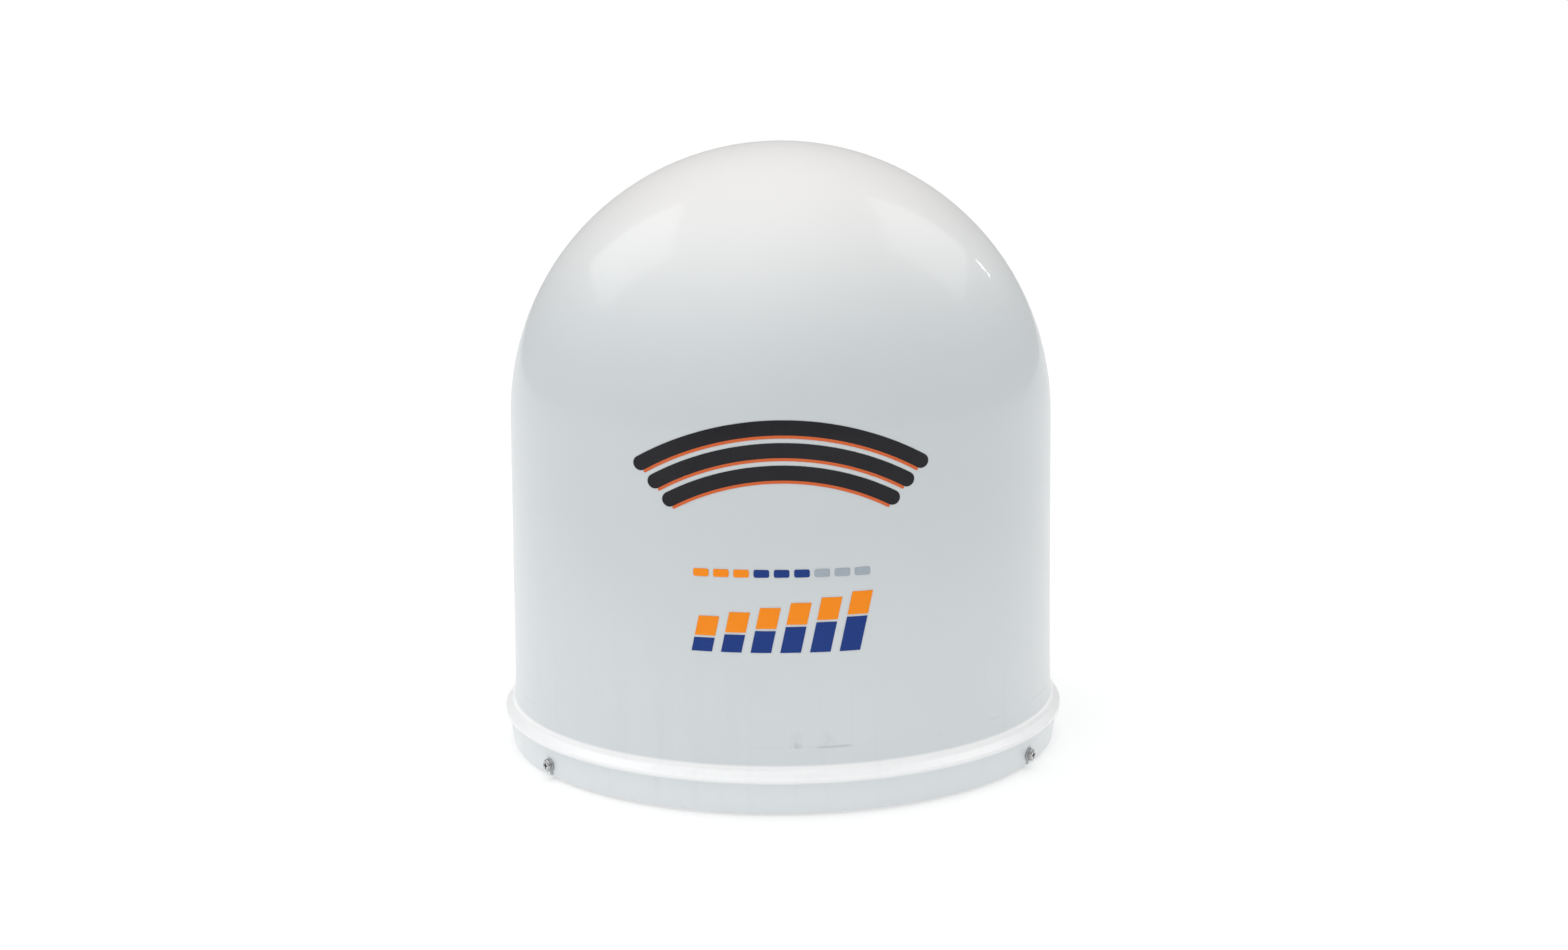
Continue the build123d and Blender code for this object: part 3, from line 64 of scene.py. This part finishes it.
class Tree:
    """Short calls that add nodes to one node tree. A value may be a number, a colour or another node's output."""

    def __init__(self, tree):
        self.tree = tree
        self.tree.nodes.clear()

    def new(self, kind, **settings):
        node = self.tree.nodes.new(kind)
        for name, value in settings.items():
            setattr(node, name, value)
        return node

    def feed(self, socket, value):
        if isinstance(value, bpy.types.NodeSocket):
            self.tree.links.new(value, socket)
        elif isinstance(value, (tuple, list)) and socket.type == "RGBA":
            socket.default_value = (*value[:3], 1.0)
        else:
            socket.default_value = value

    def math(self, operation, first, second=0.0, third=0.0):
        node = self.new("ShaderNodeMath", operation=operation)
        for socket, value in zip(node.inputs, (first, second, third)):
            self.feed(socket, value)
        return node.outputs[0]

    def vector(self, operation, first, second=(0.0, 0.0, 0.0)):
        node = self.new("ShaderNodeVectorMath", operation=operation)
        self.feed(node.inputs[0], first)
        self.feed(node.inputs[1], second)
        return node.outputs["Value" if operation in ("DOT_PRODUCT", "LENGTH") else "Vector"]

    def split(self, value):
        node = self.new("ShaderNodeSeparateXYZ")
        self.feed(node.inputs[0], value)
        return node.outputs["X"], node.outputs["Y"], node.outputs["Z"]

    def join(self, x, y, z):
        node = self.new("ShaderNodeCombineXYZ")
        for socket, value in zip(node.inputs, (x, y, z)):
            self.feed(socket, value)
        return node.outputs[0]

    def spread(self, value, low, high, to_low=0.0, to_high=1.0, smooth=False):
        """value moved from low..high to to_low..to_high, and held inside them."""
        node = self.new("ShaderNodeMapRange", interpolation_type="SMOOTHSTEP" if smooth else "LINEAR")
        for name, number in zip(("Value", "From Min", "From Max", "To Min", "To Max"),
                                (value, low, high, to_low, to_high)):
            self.feed(node.inputs[name], number)
        return node.outputs["Result"]

    def mix(self, amount, first, second):
        node = self.new("ShaderNodeMix", data_type="RGBA")
        self.feed(node.inputs["Factor"], amount)
        self.feed(node.inputs[6], first)
        self.feed(node.inputs[7], second)
        return node.outputs[2]


class Material(Tree):
    """A procedural material on one Principled shader."""

    def __init__(self, name, colour, roughness, **settings):
        self.material = bpy.data.materials.new(name)
        self.material.use_nodes = True
        super().__init__(self.material.node_tree)
        out = self.new("ShaderNodeOutputMaterial")
        self.shader = self.new("ShaderNodeBsdfPrincipled")
        self.tree.links.new(self.shader.outputs["BSDF"], out.inputs["Surface"])
        texture = self.new("ShaderNodeTexCoord")
        self.at = texture.outputs["Object"]
        self.normal = texture.outputs["Normal"]
        self.height = None
        self.set("Base Color", colour)
        self.set("Roughness", roughness)
        for name, value in settings.items():
            self.set(name.replace("_", " "), value)

    def set(self, name, value):
        self.feed(self.shader.inputs[name], value)

    def stretched(self, x, y, z):
        return self.vector("MULTIPLY", self.at, (x, y, z))

    def noise(self, scale, detail=3.0, roughness=0.55, at=None, distortion=0.0):
        node = self.new("ShaderNodeTexNoise")
        for name, value in zip(("Vector", "Scale", "Detail", "Roughness", "Distortion"),
                               (at or self.at, scale, detail, roughness, distortion)):
            self.feed(node.inputs[name], value)
        return node.outputs["Fac"]

    def cells(self, scale, distance="EUCLIDEAN", at=None, output="Distance"):
        node = self.new("ShaderNodeTexVoronoi", distance=distance)
        self.feed(node.inputs["Vector"], at or self.at)
        self.feed(node.inputs["Scale"], scale)
        return node.outputs[output]

    def bump(self, height, distance):
        """Adds relief of that height in metres over what is there already."""
        node = self.new("ShaderNodeBump")
        self.feed(node.inputs["Height"], height)
        self.feed(node.inputs["Distance"], distance)
        self.feed(node.inputs["Strength"], 1.0)
        if self.height:
            self.feed(node.inputs["Normal"], self.height)
        self.height = node.outputs["Normal"]
        self.set("Normal", self.height)

    def edges(self):
        """1 on sharp outer edges, 0 elsewhere."""
        return self.spread(self.new("ShaderNodeNewGeometry").outputs["Pointiness"], 0.52, 0.62)


def paint(names, material):
    """Gives one material to every slot of each named CAD node."""
    for name in names:
        data = nodes[name].data
        if not data.materials:
            data.materials.append(material)
        for index in range(len(data.materials)):
            data.materials[index] = material


def gelcoat():
    """White gelcoat outside, with orange peel, low waves, a little grime, a painted lighter top, a painted shade band
    round the waist, a painted lighter skirt and a painted highlight on the ledge; bare glass-fibre laminate inside.
    """
    m = Material("gelcoat_white", (0.8, 0.8, 0.8), 0.25, Coat_Weight=0.35, Coat_Roughness=0.06)
    x, y, z = m.split(m.at)
    above = m.math("MAXIMUM", m.math("SUBTRACT", z, DOME_CENTRE_Z), 0.0)
    outward = m.vector("DOT_PRODUCT", m.normal, m.vector("NORMALIZE", m.join(x, y, above)))
    inside = m.spread(outward, -0.45, -0.55)

    mottle = m.noise(7.0, 1.5)
    clouds = m.noise(42.0, 3.0, 0.5)
    chalk = m.math("ADD", m.math("MULTIPLY", mottle, 0.7), m.math("MULTIPLY", clouds, 0.3))
    white_with_painted_light = m.mix(m.spread(chalk, 0.15, 0.85), (0.640, 0.682, 0.700), (0.696, 0.730, 0.744))
    # painted light: the upper dome is painted lighter and warmer towards the top, where the light falls
    painted_top_light = m.spread(z, 0.27, 0.40, smooth=True)
    white_with_painted_light = m.mix(m.math("MULTIPLY", painted_top_light, 0.8), white_with_painted_light, (0.820, 0.795, 0.775))

    # painted shade: a darker band round the middle of the wall, where the photo's lighting is dimmer
    painted_shade_band = m.math("MULTIPLY", m.spread(z, 0.04, 0.20, smooth=True), m.spread(z, 0.34, 0.24, smooth=True))
    white_with_painted_light = m.mix(m.math("MULTIPLY", painted_shade_band, 0.6), white_with_painted_light, (0.575, 0.615, 0.632))

    # painted highlight: the up-facing ledge band is painted near-white, as if brightly lit
    painted_ledge_highlight = m.spread(m.math("ABSOLUTE", m.math("SUBTRACT", z, LEDGE_Z)), 0.0052, 0.0036)
    # painted light: the skirt below the lip is painted lighter, for the bounce light it gets
    painted_skirt_light = m.math("LESS_THAN", z, SKIRT_TOP_Z)
    white_with_painted_light = m.mix(painted_skirt_light, white_with_painted_light, (0.755, 0.795, 0.810))
    white_with_painted_light = m.mix(painted_ledge_highlight, white_with_painted_light, (0.95, 0.955, 0.96))

    streaks = m.noise(1.0, 4.0, 0.6, at=m.stretched(90.0, 90.0, 5.0))
    low_down = m.spread(z, 0.16, 0.05)
    grey_film = m.math("MULTIPLY", m.spread(streaks, 0.55, 0.78), m.math("MULTIPLY", low_down, 0.07))
    flare_line = m.spread(m.math("ABSOLUTE", m.math("SUBTRACT", z, GRIME_Z)), 0.0012, 0.0002)
    broken = m.spread(m.noise(62.0, 4.0), 0.48, 0.66)
    line_dirt = m.math("MULTIPLY", m.math("MULTIPLY", flare_line, broken), 0.14)
    fading = m.math("MULTIPLY", m.spread(z, GRIME_TOP_Z, GRIME_Z), m.math("GREATER_THAN", z, GRIME_Z - 0.0004))
    front = m.math("LESS_THAN", y, 0.0)
    beside = [m.math("ABSOLUTE", m.math("SUBTRACT", x, streak_x)) for streak_x in STREAK_XS]
    columns = m.spread(m.math("MINIMUM", *beside), 0.0050, 0.0012)
    foot_x = m.math("ABSOLUTE", m.math("SUBTRACT", x, GRIME_FOOT_X))
    foot = m.math("MULTIPLY", m.spread(foot_x, 0.013, 0.008), flare_line)
    flecks = m.spread(m.noise(1.0, 4.0, 0.6, at=m.stretched(330.0, 330.0, 110.0)), 0.36, 0.58)
    patch = m.math("MAXIMUM", m.math("MULTIPLY", m.math("MULTIPLY", columns, fading), flecks), foot)
    smudge = m.math("MULTIPLY", m.math("MULTIPLY", patch, front), 0.42)
    dirt = m.math("MAXIMUM", m.math("MAXIMUM", grey_film, line_dirt), smudge)
    outer = m.mix(dirt, white_with_painted_light, (0.36, 0.38, 0.38))

    strands = m.noise(1.0, 2.0, 0.5, at=m.stretched(900.0, 900.0, 160.0), distortion=0.6)
    mat = m.cells(130.0, at=m.vector("ADD", m.at, m.join(0.0, 0.0, m.math("MULTIPLY", strands, 0.004))))
    fibre = m.math("ADD", m.math("MULTIPLY", strands, 0.6), m.math("MULTIPLY", mat, 0.5))
    resin = m.mix(m.spread(fibre, 0.3, 0.8), (0.50, 0.49, 0.42), (0.70, 0.69, 0.62))
    m.set("Base Color", m.mix(inside, outer, resin))

    haze = m.spread(m.noise(16.0, 2.0), 0.2, 0.8, 0.31, 0.38)
    rough_out = m.math("ADD", haze, m.math("MULTIPLY", dirt, 0.5))
    rough_in = m.spread(fibre, 0.3, 0.8, 0.42, 0.72)
    gap = m.math("SUBTRACT", rough_in, rough_out)
    m.set("Roughness", m.math("ADD", rough_out, m.math("MULTIPLY", gap, inside)))

    m.bump(m.noise(4.5, 1.0), 0.0016)
    m.bump(m.noise(240.0, 1.0), 0.000008)
    m.bump(m.math("MULTIPLY", fibre, inside), 0.0006)
    return m.material


def moulded_white():
    """Off-white moulded plastic of the base, with a fine spark texture and faint flow marks."""
    m = Material("base_white", (0.72, 0.73, 0.73), 0.45, Coat_Weight=0.08, Coat_Roughness=0.2)
    flow = m.noise(1.0, 3.0, 0.5, at=m.stretched(14.0, 14.0, 60.0), distortion=0.8)
    specks = m.spread(m.noise(900.0, 2.0), 0.62, 0.72)
    tone = m.mix(m.spread(flow, 0.3, 0.7), (0.66, 0.675, 0.675), (0.73, 0.74, 0.735))
    tone = m.mix(m.math("MULTIPLY", specks, 0.12), tone, (0.45, 0.45, 0.44))
    dust = m.spread(m.noise(60.0, 5.0, 0.65), 0.55, 0.75)
    m.set("Base Color", m.mix(m.math("MULTIPLY", dust, 0.18), tone, (0.52, 0.50, 0.46)))
    m.set("Roughness", m.spread(m.noise(120.0, 3.0), 0.3, 0.7, 0.38, 0.56))
    m.bump(m.noise(1400.0, 2.0), 0.00003)
    m.bump(flow, 0.0003)
    return m.material


def vinyl(name, colour, pale):
    """Cut vinyl film: saturated ink, slight fading, hairline scuffs and a soft gloss."""
    m = Material(name, colour, 0.35, Coat_Weight=0.04, Coat_Roughness=0.1, Specular_IOR_Level=0.2)
    fade = m.spread(m.noise(30.0, 4.0), 0.35, 0.75, 0.0, 0.06)
    scuffs = m.spread(m.noise(1.0, 2.0, 0.5, at=m.stretched(260.0, 260.0, 2600.0)), 0.66, 0.74, 0.0, 0.12)
    grain = m.spread(m.noise(1500.0, 2.0), 0.3, 0.7, 0.0, 0.03)
    worn = m.math("ADD", m.math("MAXIMUM", fade, scuffs), grain)
    m.set("Base Color", m.mix(worn, colour, pale))
    m.set("Roughness", m.spread(m.noise(90.0, 3.0), 0.3, 0.7, 0.22, 0.40))
    m.bump(m.noise(420.0, 2.0), 0.00002)
    m.bump(scuffs, 0.00002)
    return m.material


def metal(name, dark, light, rough, brush=(60.0, 60.0, 1400.0), relief=0.00001, tarnish=0.1, stain=(0.2, 0.18, 0.15)):
    """Worked metal: tool marks along one direction, uneven polish and thin stains."""
    m = Material(name, light, rough, Metallic=1.0)
    marks = m.noise(1.0, 4.0, 0.6, at=m.stretched(*brush))
    tone = m.mix(m.spread(marks, 0.3, 0.7), dark, light)
    stains = m.math("MULTIPLY", m.spread(m.noise(170.0, 5.0, 0.65), 0.5, 0.75), tarnish)
    m.set("Base Color", m.mix(stains, tone, stain))
    polish = m.spread(marks, 0.25, 0.75, max(rough - 0.10, 0.05), rough + 0.10)
    m.set("Roughness", m.math("ADD", polish, m.math("MULTIPLY", stains, 0.6)))
    m.bump(marks, relief)
    return m


def rim_screw_steel():
    """Stainless screw heads out in the weather: bright rims, with painted shade darkening the recesses and a painted
    grey shade ring round the edge.
    """
    m = metal("stainless_screws", (0.42, 0.42, 0.43), (0.70, 0.70, 0.70), 0.24, tarnish=0.15)
    x, y, z = m.split(m.at)
    beside = m.math("ABSOLUTE", x)
    ahead = m.math("ABSOLUTE", y)
    outward = m.math("ADD", m.math("MULTIPLY", beside, sin(SCREW_TURN)), m.math("MULTIPLY", ahead, cos(SCREW_TURN)))
    across = m.math("SUBTRACT", m.math("MULTIPLY", ahead, sin(SCREW_TURN)),
                    m.math("MULTIPLY", beside, cos(SCREW_TURN)))
    up = m.math("SUBTRACT", z, SCREW_Z)
    off_axis = m.vector("LENGTH", m.join(across, up, 0.0))
    # painted shade: the screw head recesses are painted near-black
    painted_recess_shade = m.math("MULTIPLY", m.spread(outward, SCREW_RECESS_R + 0.0007, SCREW_RECESS_R - 0.0002),
                    m.math("LESS_THAN", off_axis, SCREW_RECESS_HALF))
    # painted shade: a grey ring painted round the outer edge of each head
    painted_rim_shade = m.spread(off_axis, 0.0026, 0.0040)
    painted_screw_shade = m.math("MAXIMUM", m.math("MULTIPLY", painted_rim_shade, 0.3), painted_recess_shade)
    before = m.shader.inputs["Base Color"].links[0].from_socket
    m.set("Base Color", m.mix(painted_screw_shade, before, (0.035, 0.036, 0.04)))
    return m.material


def rubber(name, colour, dust_colour):
    """Matt rubber with a fine pebble and a little dust."""
    m = Material(name, colour, 0.8, Specular_IOR_Level=0.35)
    dust = m.spread(m.noise(240.0, 5.0, 0.7), 0.52, 0.75, 0.0, 0.35)
    bloom = m.spread(m.noise(35.0, 3.0), 0.4, 0.7, 0.0, 0.12)
    m.set("Base Color", m.mix(m.math("ADD", dust, bloom), colour, dust_colour))
    m.set("Roughness", m.spread(m.noise(500.0, 2.0), 0.3, 0.7, 0.66, 0.92))
    m.bump(m.noise(1700.0, 2.0), 0.00004)
    return m.material


def textured_plastic(name, colour, worn, rough, grain=1900.0, relief=0.00005, coat=0.0):
    """Moulded plastic with an etched grain, rubbed paler and smoother at its edges."""
    m = Material(name, colour, rough, Coat_Weight=coat, Coat_Roughness=0.2)
    etch = m.cells(grain)
    tone = m.spread(m.noise(45.0, 4.0), 0.3, 0.7, 0.0, 0.25)
    rub = m.math("MULTIPLY", m.edges(), 0.5)
    m.set("Base Color", m.mix(m.math("MAXIMUM", tone, rub), colour, worn))
    smooth = m.spread(m.noise(80.0, 3.0), 0.3, 0.7, rough - 0.08, rough + 0.10)
    m.set("Roughness", m.math("SUBTRACT", smooth, m.math("MULTIPLY", rub, 0.2)))
    m.bump(etch, relief)
    return m.material


def circuit_board():
    """Green solder mask over copper runs that change direction from patch to patch, with tinned vias."""
    m = Material("board_green", (0.01, 0.12, 0.05), 0.35, Coat_Weight=0.4, Coat_Roughness=0.15)
    x, y, _ = m.split(m.at)
    runs = []
    for along in (x, y):
        phase = m.math("FRACT", m.math("MULTIPLY", along, 1250.0))
        runs.append(m.spread(m.math("ABSOLUTE", m.math("SUBTRACT", phase, 0.5)), 0.20, 0.12))
    patch = m.split(m.cells(85.0, distance="CHEBYCHEV", output="Color"))
    turned = m.math("GREATER_THAN", patch[0], 0.5)
    present = m.math("GREATER_THAN", patch[1], 0.35)
    straight = m.math("MULTIPLY", runs[0], turned)
    crossing = m.math("MULTIPLY", runs[1], m.math("SUBTRACT", 1.0, turned))
    copper = m.math("MULTIPLY", m.math("ADD", straight, crossing), present)
    mask = m.mix(copper, (0.008, 0.085, 0.035), (0.025, 0.19, 0.075))
    vias = m.spread(m.cells(330.0), 0.20, 0.15)
    m.set("Base Color", m.mix(vias, mask, (0.72, 0.69, 0.58)))
    m.set("Roughness", m.spread(m.noise(200.0), 0.3, 0.7, 0.28, 0.42))
    m.bump(m.math("ADD", copper, vias), 0.00003)
    return m.material


def sim_card(side):
    """White printed card with one block of gold contacts, divided by thin gaps."""
    m = Material(f"card_white_{side}", (0.86, 0.86, 0.84), 0.4)
    x, y, _ = m.split(m.at)
    beside = m.math("ABSOLUTE", m.math("SUBTRACT", x, CARD_XS[side]))
    along = m.math("ABSOLUTE", m.math("SUBTRACT", y, CARD_Y))
    block = m.math("MULTIPLY", m.math("LESS_THAN", beside, CONTACTS_HALF_X),
                   m.math("LESS_THAN", along, CONTACTS_HALF_Y))
    lanes = m.math("FRACT", m.math("MULTIPLY", along, 320.0))
    gaps = m.math("MAXIMUM", m.math("LESS_THAN", lanes, 0.1), m.math("LESS_THAN", beside, 0.0004))
    gold = m.math("MULTIPLY", block, m.math("SUBTRACT", 1.0, gaps))
    card = m.mix(m.spread(m.noise(700.0), 0.3, 0.7), (0.80, 0.80, 0.78), (0.88, 0.88, 0.86))
    m.set("Base Color", m.mix(gold, card, (0.83, 0.62, 0.25)))
    m.set("Metallic", gold)
    m.set("Roughness", m.spread(m.noise(300.0), 0.3, 0.7, 0.3, 0.5))
    m.bump(m.noise(900.0), 0.00001)
    return m.material


def light_pipe():
    """Clear acrylic with frosted patches."""
    m = Material("light_pipe_clear", (0.90, 0.95, 0.96), 0.15, Transmission_Weight=0.85, IOR=1.49)
    frost = m.noise(260.0, 4.0)
    m.set("Base Color", m.mix(frost, (0.82, 0.90, 0.93), (0.94, 0.97, 0.98)))
    m.set("Roughness", m.spread(frost, 0.3, 0.7, 0.06, 0.32))
    m.bump(frost, 0.00003)
    return m.material


def fibre_tube():
    """White glass-fibre tube with drawn strands along its length."""
    m = Material("aerial_tube", (0.78, 0.79, 0.78), 0.4, Coat_Weight=0.3, Coat_Roughness=0.15)
    strands = m.noise(1.0, 3.0, 0.6, at=m.stretched(1500.0, 1500.0, 14.0))
    m.set("Base Color", m.mix(m.spread(strands, 0.3, 0.7), (0.68, 0.69, 0.67), (0.80, 0.81, 0.80)))
    m.set("Roughness", m.spread(strands, 0.3, 0.7, 0.30, 0.48))
    m.bump(strands, 0.00004)
    return m.material


def cable_jacket():
    """Black cable jacket with a drawn sheen, fine grain and handling dust."""
    m = Material("lead_jacket", (0.02, 0.02, 0.022), 0.5)
    grain = m.noise(1300.0, 2.0)
    dust = m.spread(m.noise(180.0, 4.0, 0.65), 0.5, 0.75, 0.0, 0.25)
    m.set("Base Color", m.mix(dust, (0.016, 0.016, 0.018), (0.12, 0.115, 0.11)))
    m.set("Roughness", m.spread(grain, 0.3, 0.7, 0.42, 0.62))
    m.bump(grain, 0.00003)
    return m.material


def shield_can():
    """Tinned steel with soft blotches and rows of small pressed dimples."""
    m = metal("tin_shield", (0.50, 0.51, 0.50), (0.72, 0.73, 0.72), 0.34, (90.0, 90.0, 90.0), tarnish=0.15)
    x, y, _ = m.split(m.at)
    cell_x = m.math("SUBTRACT", m.math("FRACT", m.math("MULTIPLY", x, 280.0)), 0.5)
    cell_y = m.math("SUBTRACT", m.math("FRACT", m.math("MULTIPLY", y, 280.0)), 0.5)
    dimple = m.spread(m.vector("LENGTH", m.join(cell_x, cell_y, 0.0)), 0.24, 0.16)
    m.bump(dimple, -0.00012)
    return m.material


def pad():
    """Soft heat-transfer pad with a woven carrier showing through."""
    m = Material("pad_pink", (0.55, 0.42, 0.48), 0.85)
    x, y, _ = m.split(m.at)
    weave = m.math("MULTIPLY", m.math("SINE", m.math("MULTIPLY", x, 4200.0)),
                   m.math("SINE", m.math("MULTIPLY", y, 4200.0)))
    m.set("Base Color", m.mix(m.spread(weave, -1.0, 1.0), (0.46, 0.34, 0.40), (0.60, 0.47, 0.53)))
    m.bump(weave, 0.00003)
    return m.material


STEEL = metal("stainless", (0.48, 0.48, 0.48), (0.66, 0.66, 0.655), 0.28).material
NICKEL = metal("nickel", (0.56, 0.55, 0.52), (0.76, 0.75, 0.72), 0.22, (70.0, 70.0, 900.0)).material
BRASS = metal("brass", (0.52, 0.36, 0.14), (0.78, 0.58, 0.27), 0.30, (80.0, 80.0, 1200.0), tarnish=0.3,
              stain=(0.24, 0.14, 0.06)).material
GOLD = metal("gold_contact", (0.72, 0.50, 0.18), (0.92, 0.70, 0.32), 0.20, (80.0, 800.0, 80.0)).material
PLATE = metal("aluminium_plate", (0.58, 0.59, 0.60), (0.76, 0.77, 0.78), 0.36, (14.0, 1500.0, 200.0), 0.00002,
              stain=(0.42, 0.42, 0.42)).material
SINK = metal("heat_sink_black", (0.03, 0.03, 0.033), (0.085, 0.085, 0.09), 0.42, (900.0, 20.0, 200.0), 0.00002,
             stain=(0.14, 0.13, 0.12)).material

FINISHES = {
    "gelcoat_white": gelcoat(),
    "base_white": moulded_white(),
    "vinyl_dark": vinyl("vinyl_dark", (0.010, 0.010, 0.013), (0.08, 0.08, 0.09)),
    "vinyl_red_orange": vinyl("vinyl_red_orange", (0.66, 0.12, 0.025), (0.78, 0.34, 0.20)),
    "vinyl_orange": vinyl("vinyl_orange", (0.96, 0.265, 0.002), (0.98, 0.44, 0.07)),
    "vinyl_blue": vinyl("vinyl_blue", (0.004, 0.034, 0.215), (0.06, 0.12, 0.34)),
    "vinyl_grey": vinyl("vinyl_grey", (0.375, 0.430, 0.480), (0.52, 0.57, 0.60)),
    "stainless": STEEL,
    "brass": BRASS,
    "nickel": NICKEL,
    "gold_contact": GOLD,
    "aluminium_plate": PLATE,
    "black_rubber": rubber("black_rubber", (0.018, 0.018, 0.019), (0.13, 0.125, 0.115)),
    "grey_rubber": rubber("grey_rubber", (0.12, 0.12, 0.125), (0.24, 0.235, 0.225)),
    "router_plastic": textured_plastic("router_plastic", (0.030, 0.031, 0.034), (0.075, 0.076, 0.080), 0.52),
    "black_plastic": textured_plastic("black_plastic", (0.012, 0.012, 0.013), (0.045, 0.045, 0.047), 0.40,
                                      2600.0, 0.00003, 0.1),
    "board_green": circuit_board(),
    "tin_shield": shield_can(),
    "pad_pink": pad(),
    "heat_sink_black": SINK,
    "light_pipe_clear": light_pipe(),
    "aerial_tube": fibre_tube(),
    "lead_jacket": cable_jacket(),
}

for part in frame["record"]["subparts"]:
    if part["material_slot"] in FINISHES:
        paint([part["node"]], FINISHES[part["material_slot"]])
for side in CARD_XS:
    paint([f"sim_card_{side}"], sim_card(side))
paint(["radome_screws"], rim_screw_steel())


def backdrop():
    """A wide pale floor under the object."""
    reach = 30.0
    corners = [(-reach, -reach, 0.0), (reach, -reach, 0.0), (reach, reach, 0.0), (-reach, reach, 0.0)]
    data = bpy.data.meshes.new("floor")
    data.from_pydata(corners, [], [(0, 1, 2, 3)])
    floor = bpy.data.objects.new("floor", data)
    scene.collection.objects.link(floor)
    floor.location.z = -0.0002
    m = Material("floor_paper", (0.56, 0.56, 0.56), 0.9, Specular_IOR_Level=0.1)
    m.set("Base Color", m.mix(m.noise(3.0, 2.0), (0.55, 0.55, 0.55), (0.57, 0.57, 0.57)))
    m.set("Emission Color", (1.0, 1.0, 1.0))
    m.set("Emission Strength", FLOOR_GLOW)
    data.materials.append(m.material)


def sky():
    """White light in two soft lobes, overhead and front left, with plain white behind the object."""
    world = bpy.data.worlds.new("studio")
    scene.world = world
    world.use_nodes = True
    t = Tree(world.node_tree)
    out = t.new("ShaderNodeOutputWorld")
    background = t.new("ShaderNodeBackground")
    t.tree.links.new(background.outputs[0], out.inputs["Surface"])
    towards = t.vector("NORMALIZE", t.new("ShaderNodeTexCoord").outputs["Generated"])
    overhead = (0.0, 0.0, 1.0)
    front = (sin(FRONT_TURN) * cos(FRONT_RISE), -cos(FRONT_TURN) * cos(FRONT_RISE), sin(FRONT_RISE))
    light = SKY_BASE
    for peak, strength in ((overhead, OVERHEAD_PEAK), (front, FRONT_PEAK)):
        facing = t.math("MAXIMUM", t.vector("DOT_PRODUCT", towards, peak), 0.0)
        light = t.math("MULTIPLY_ADD", t.math("POWER", facing, SKY_SHARPNESS), strength, light)
    seen = t.new("ShaderNodeLightPath").outputs["Is Camera Ray"]
    t.feed(background.inputs["Color"], (1.0, 1.0, 1.0))
    t.feed(background.inputs["Strength"], t.math("MULTIPLY_ADD", seen, t.math("SUBTRACT", 1.0, light), light))


def soft_box(name, place, size_x, size_y, power):
    """A rectangular studio light aimed at the middle of the dome."""
    data = bpy.data.lights.new(name, "AREA")
    data.shape = "RECTANGLE"
    data.size = size_x
    data.size_y = size_y
    data.energy = power
    light = bpy.data.objects.new(name, data)
    light.location = place
    light.rotation_euler = (BOX_TARGET - Vector(place)).to_track_quat("-Z", "Y").to_euler()
    light.visible_camera = False
    scene.collection.objects.link(light)


def camera():
    """The viewpoint, with its slight roll."""
    direction = Vector((sin(VIEW_TURN) * cos(VIEW_RISE), -cos(VIEW_TURN) * cos(VIEW_RISE), sin(VIEW_RISE)))
    right = Vector((cos(VIEW_TURN), sin(VIEW_TURN), 0.0))
    target = VIEW_TARGET + right * VIEW_ASIDE
    data = bpy.data.cameras.new("camera")
    data.lens = LENS
    data.sensor_width = SENSOR
    data.clip_end = 100.0
    eye = bpy.data.objects.new("camera", data)
    eye.location = target + direction * VIEW_DISTANCE
    aim = (-direction).to_track_quat("-Z", "Y")
    eye.rotation_mode = "QUATERNION"
    eye.rotation_quaternion = aim @ Quaternion((0.0, 0.0, 1.0), VIEW_ROLL)
    scene.collection.objects.link(eye)
    scene.camera = eye


backdrop()
sky()
soft_box("back_left", (-1.55, 0.62, 1.9), 1.2, 1.2, 5.6)
soft_box("back_right", (1.55, 0.62, 1.9), 1.2, 1.2, 5.1)
soft_box("right_strip", (1.9, 1.5, 1.3), 0.05, 0.22, 0.35)
camera()
scene.view_settings.view_transform = "Standard"
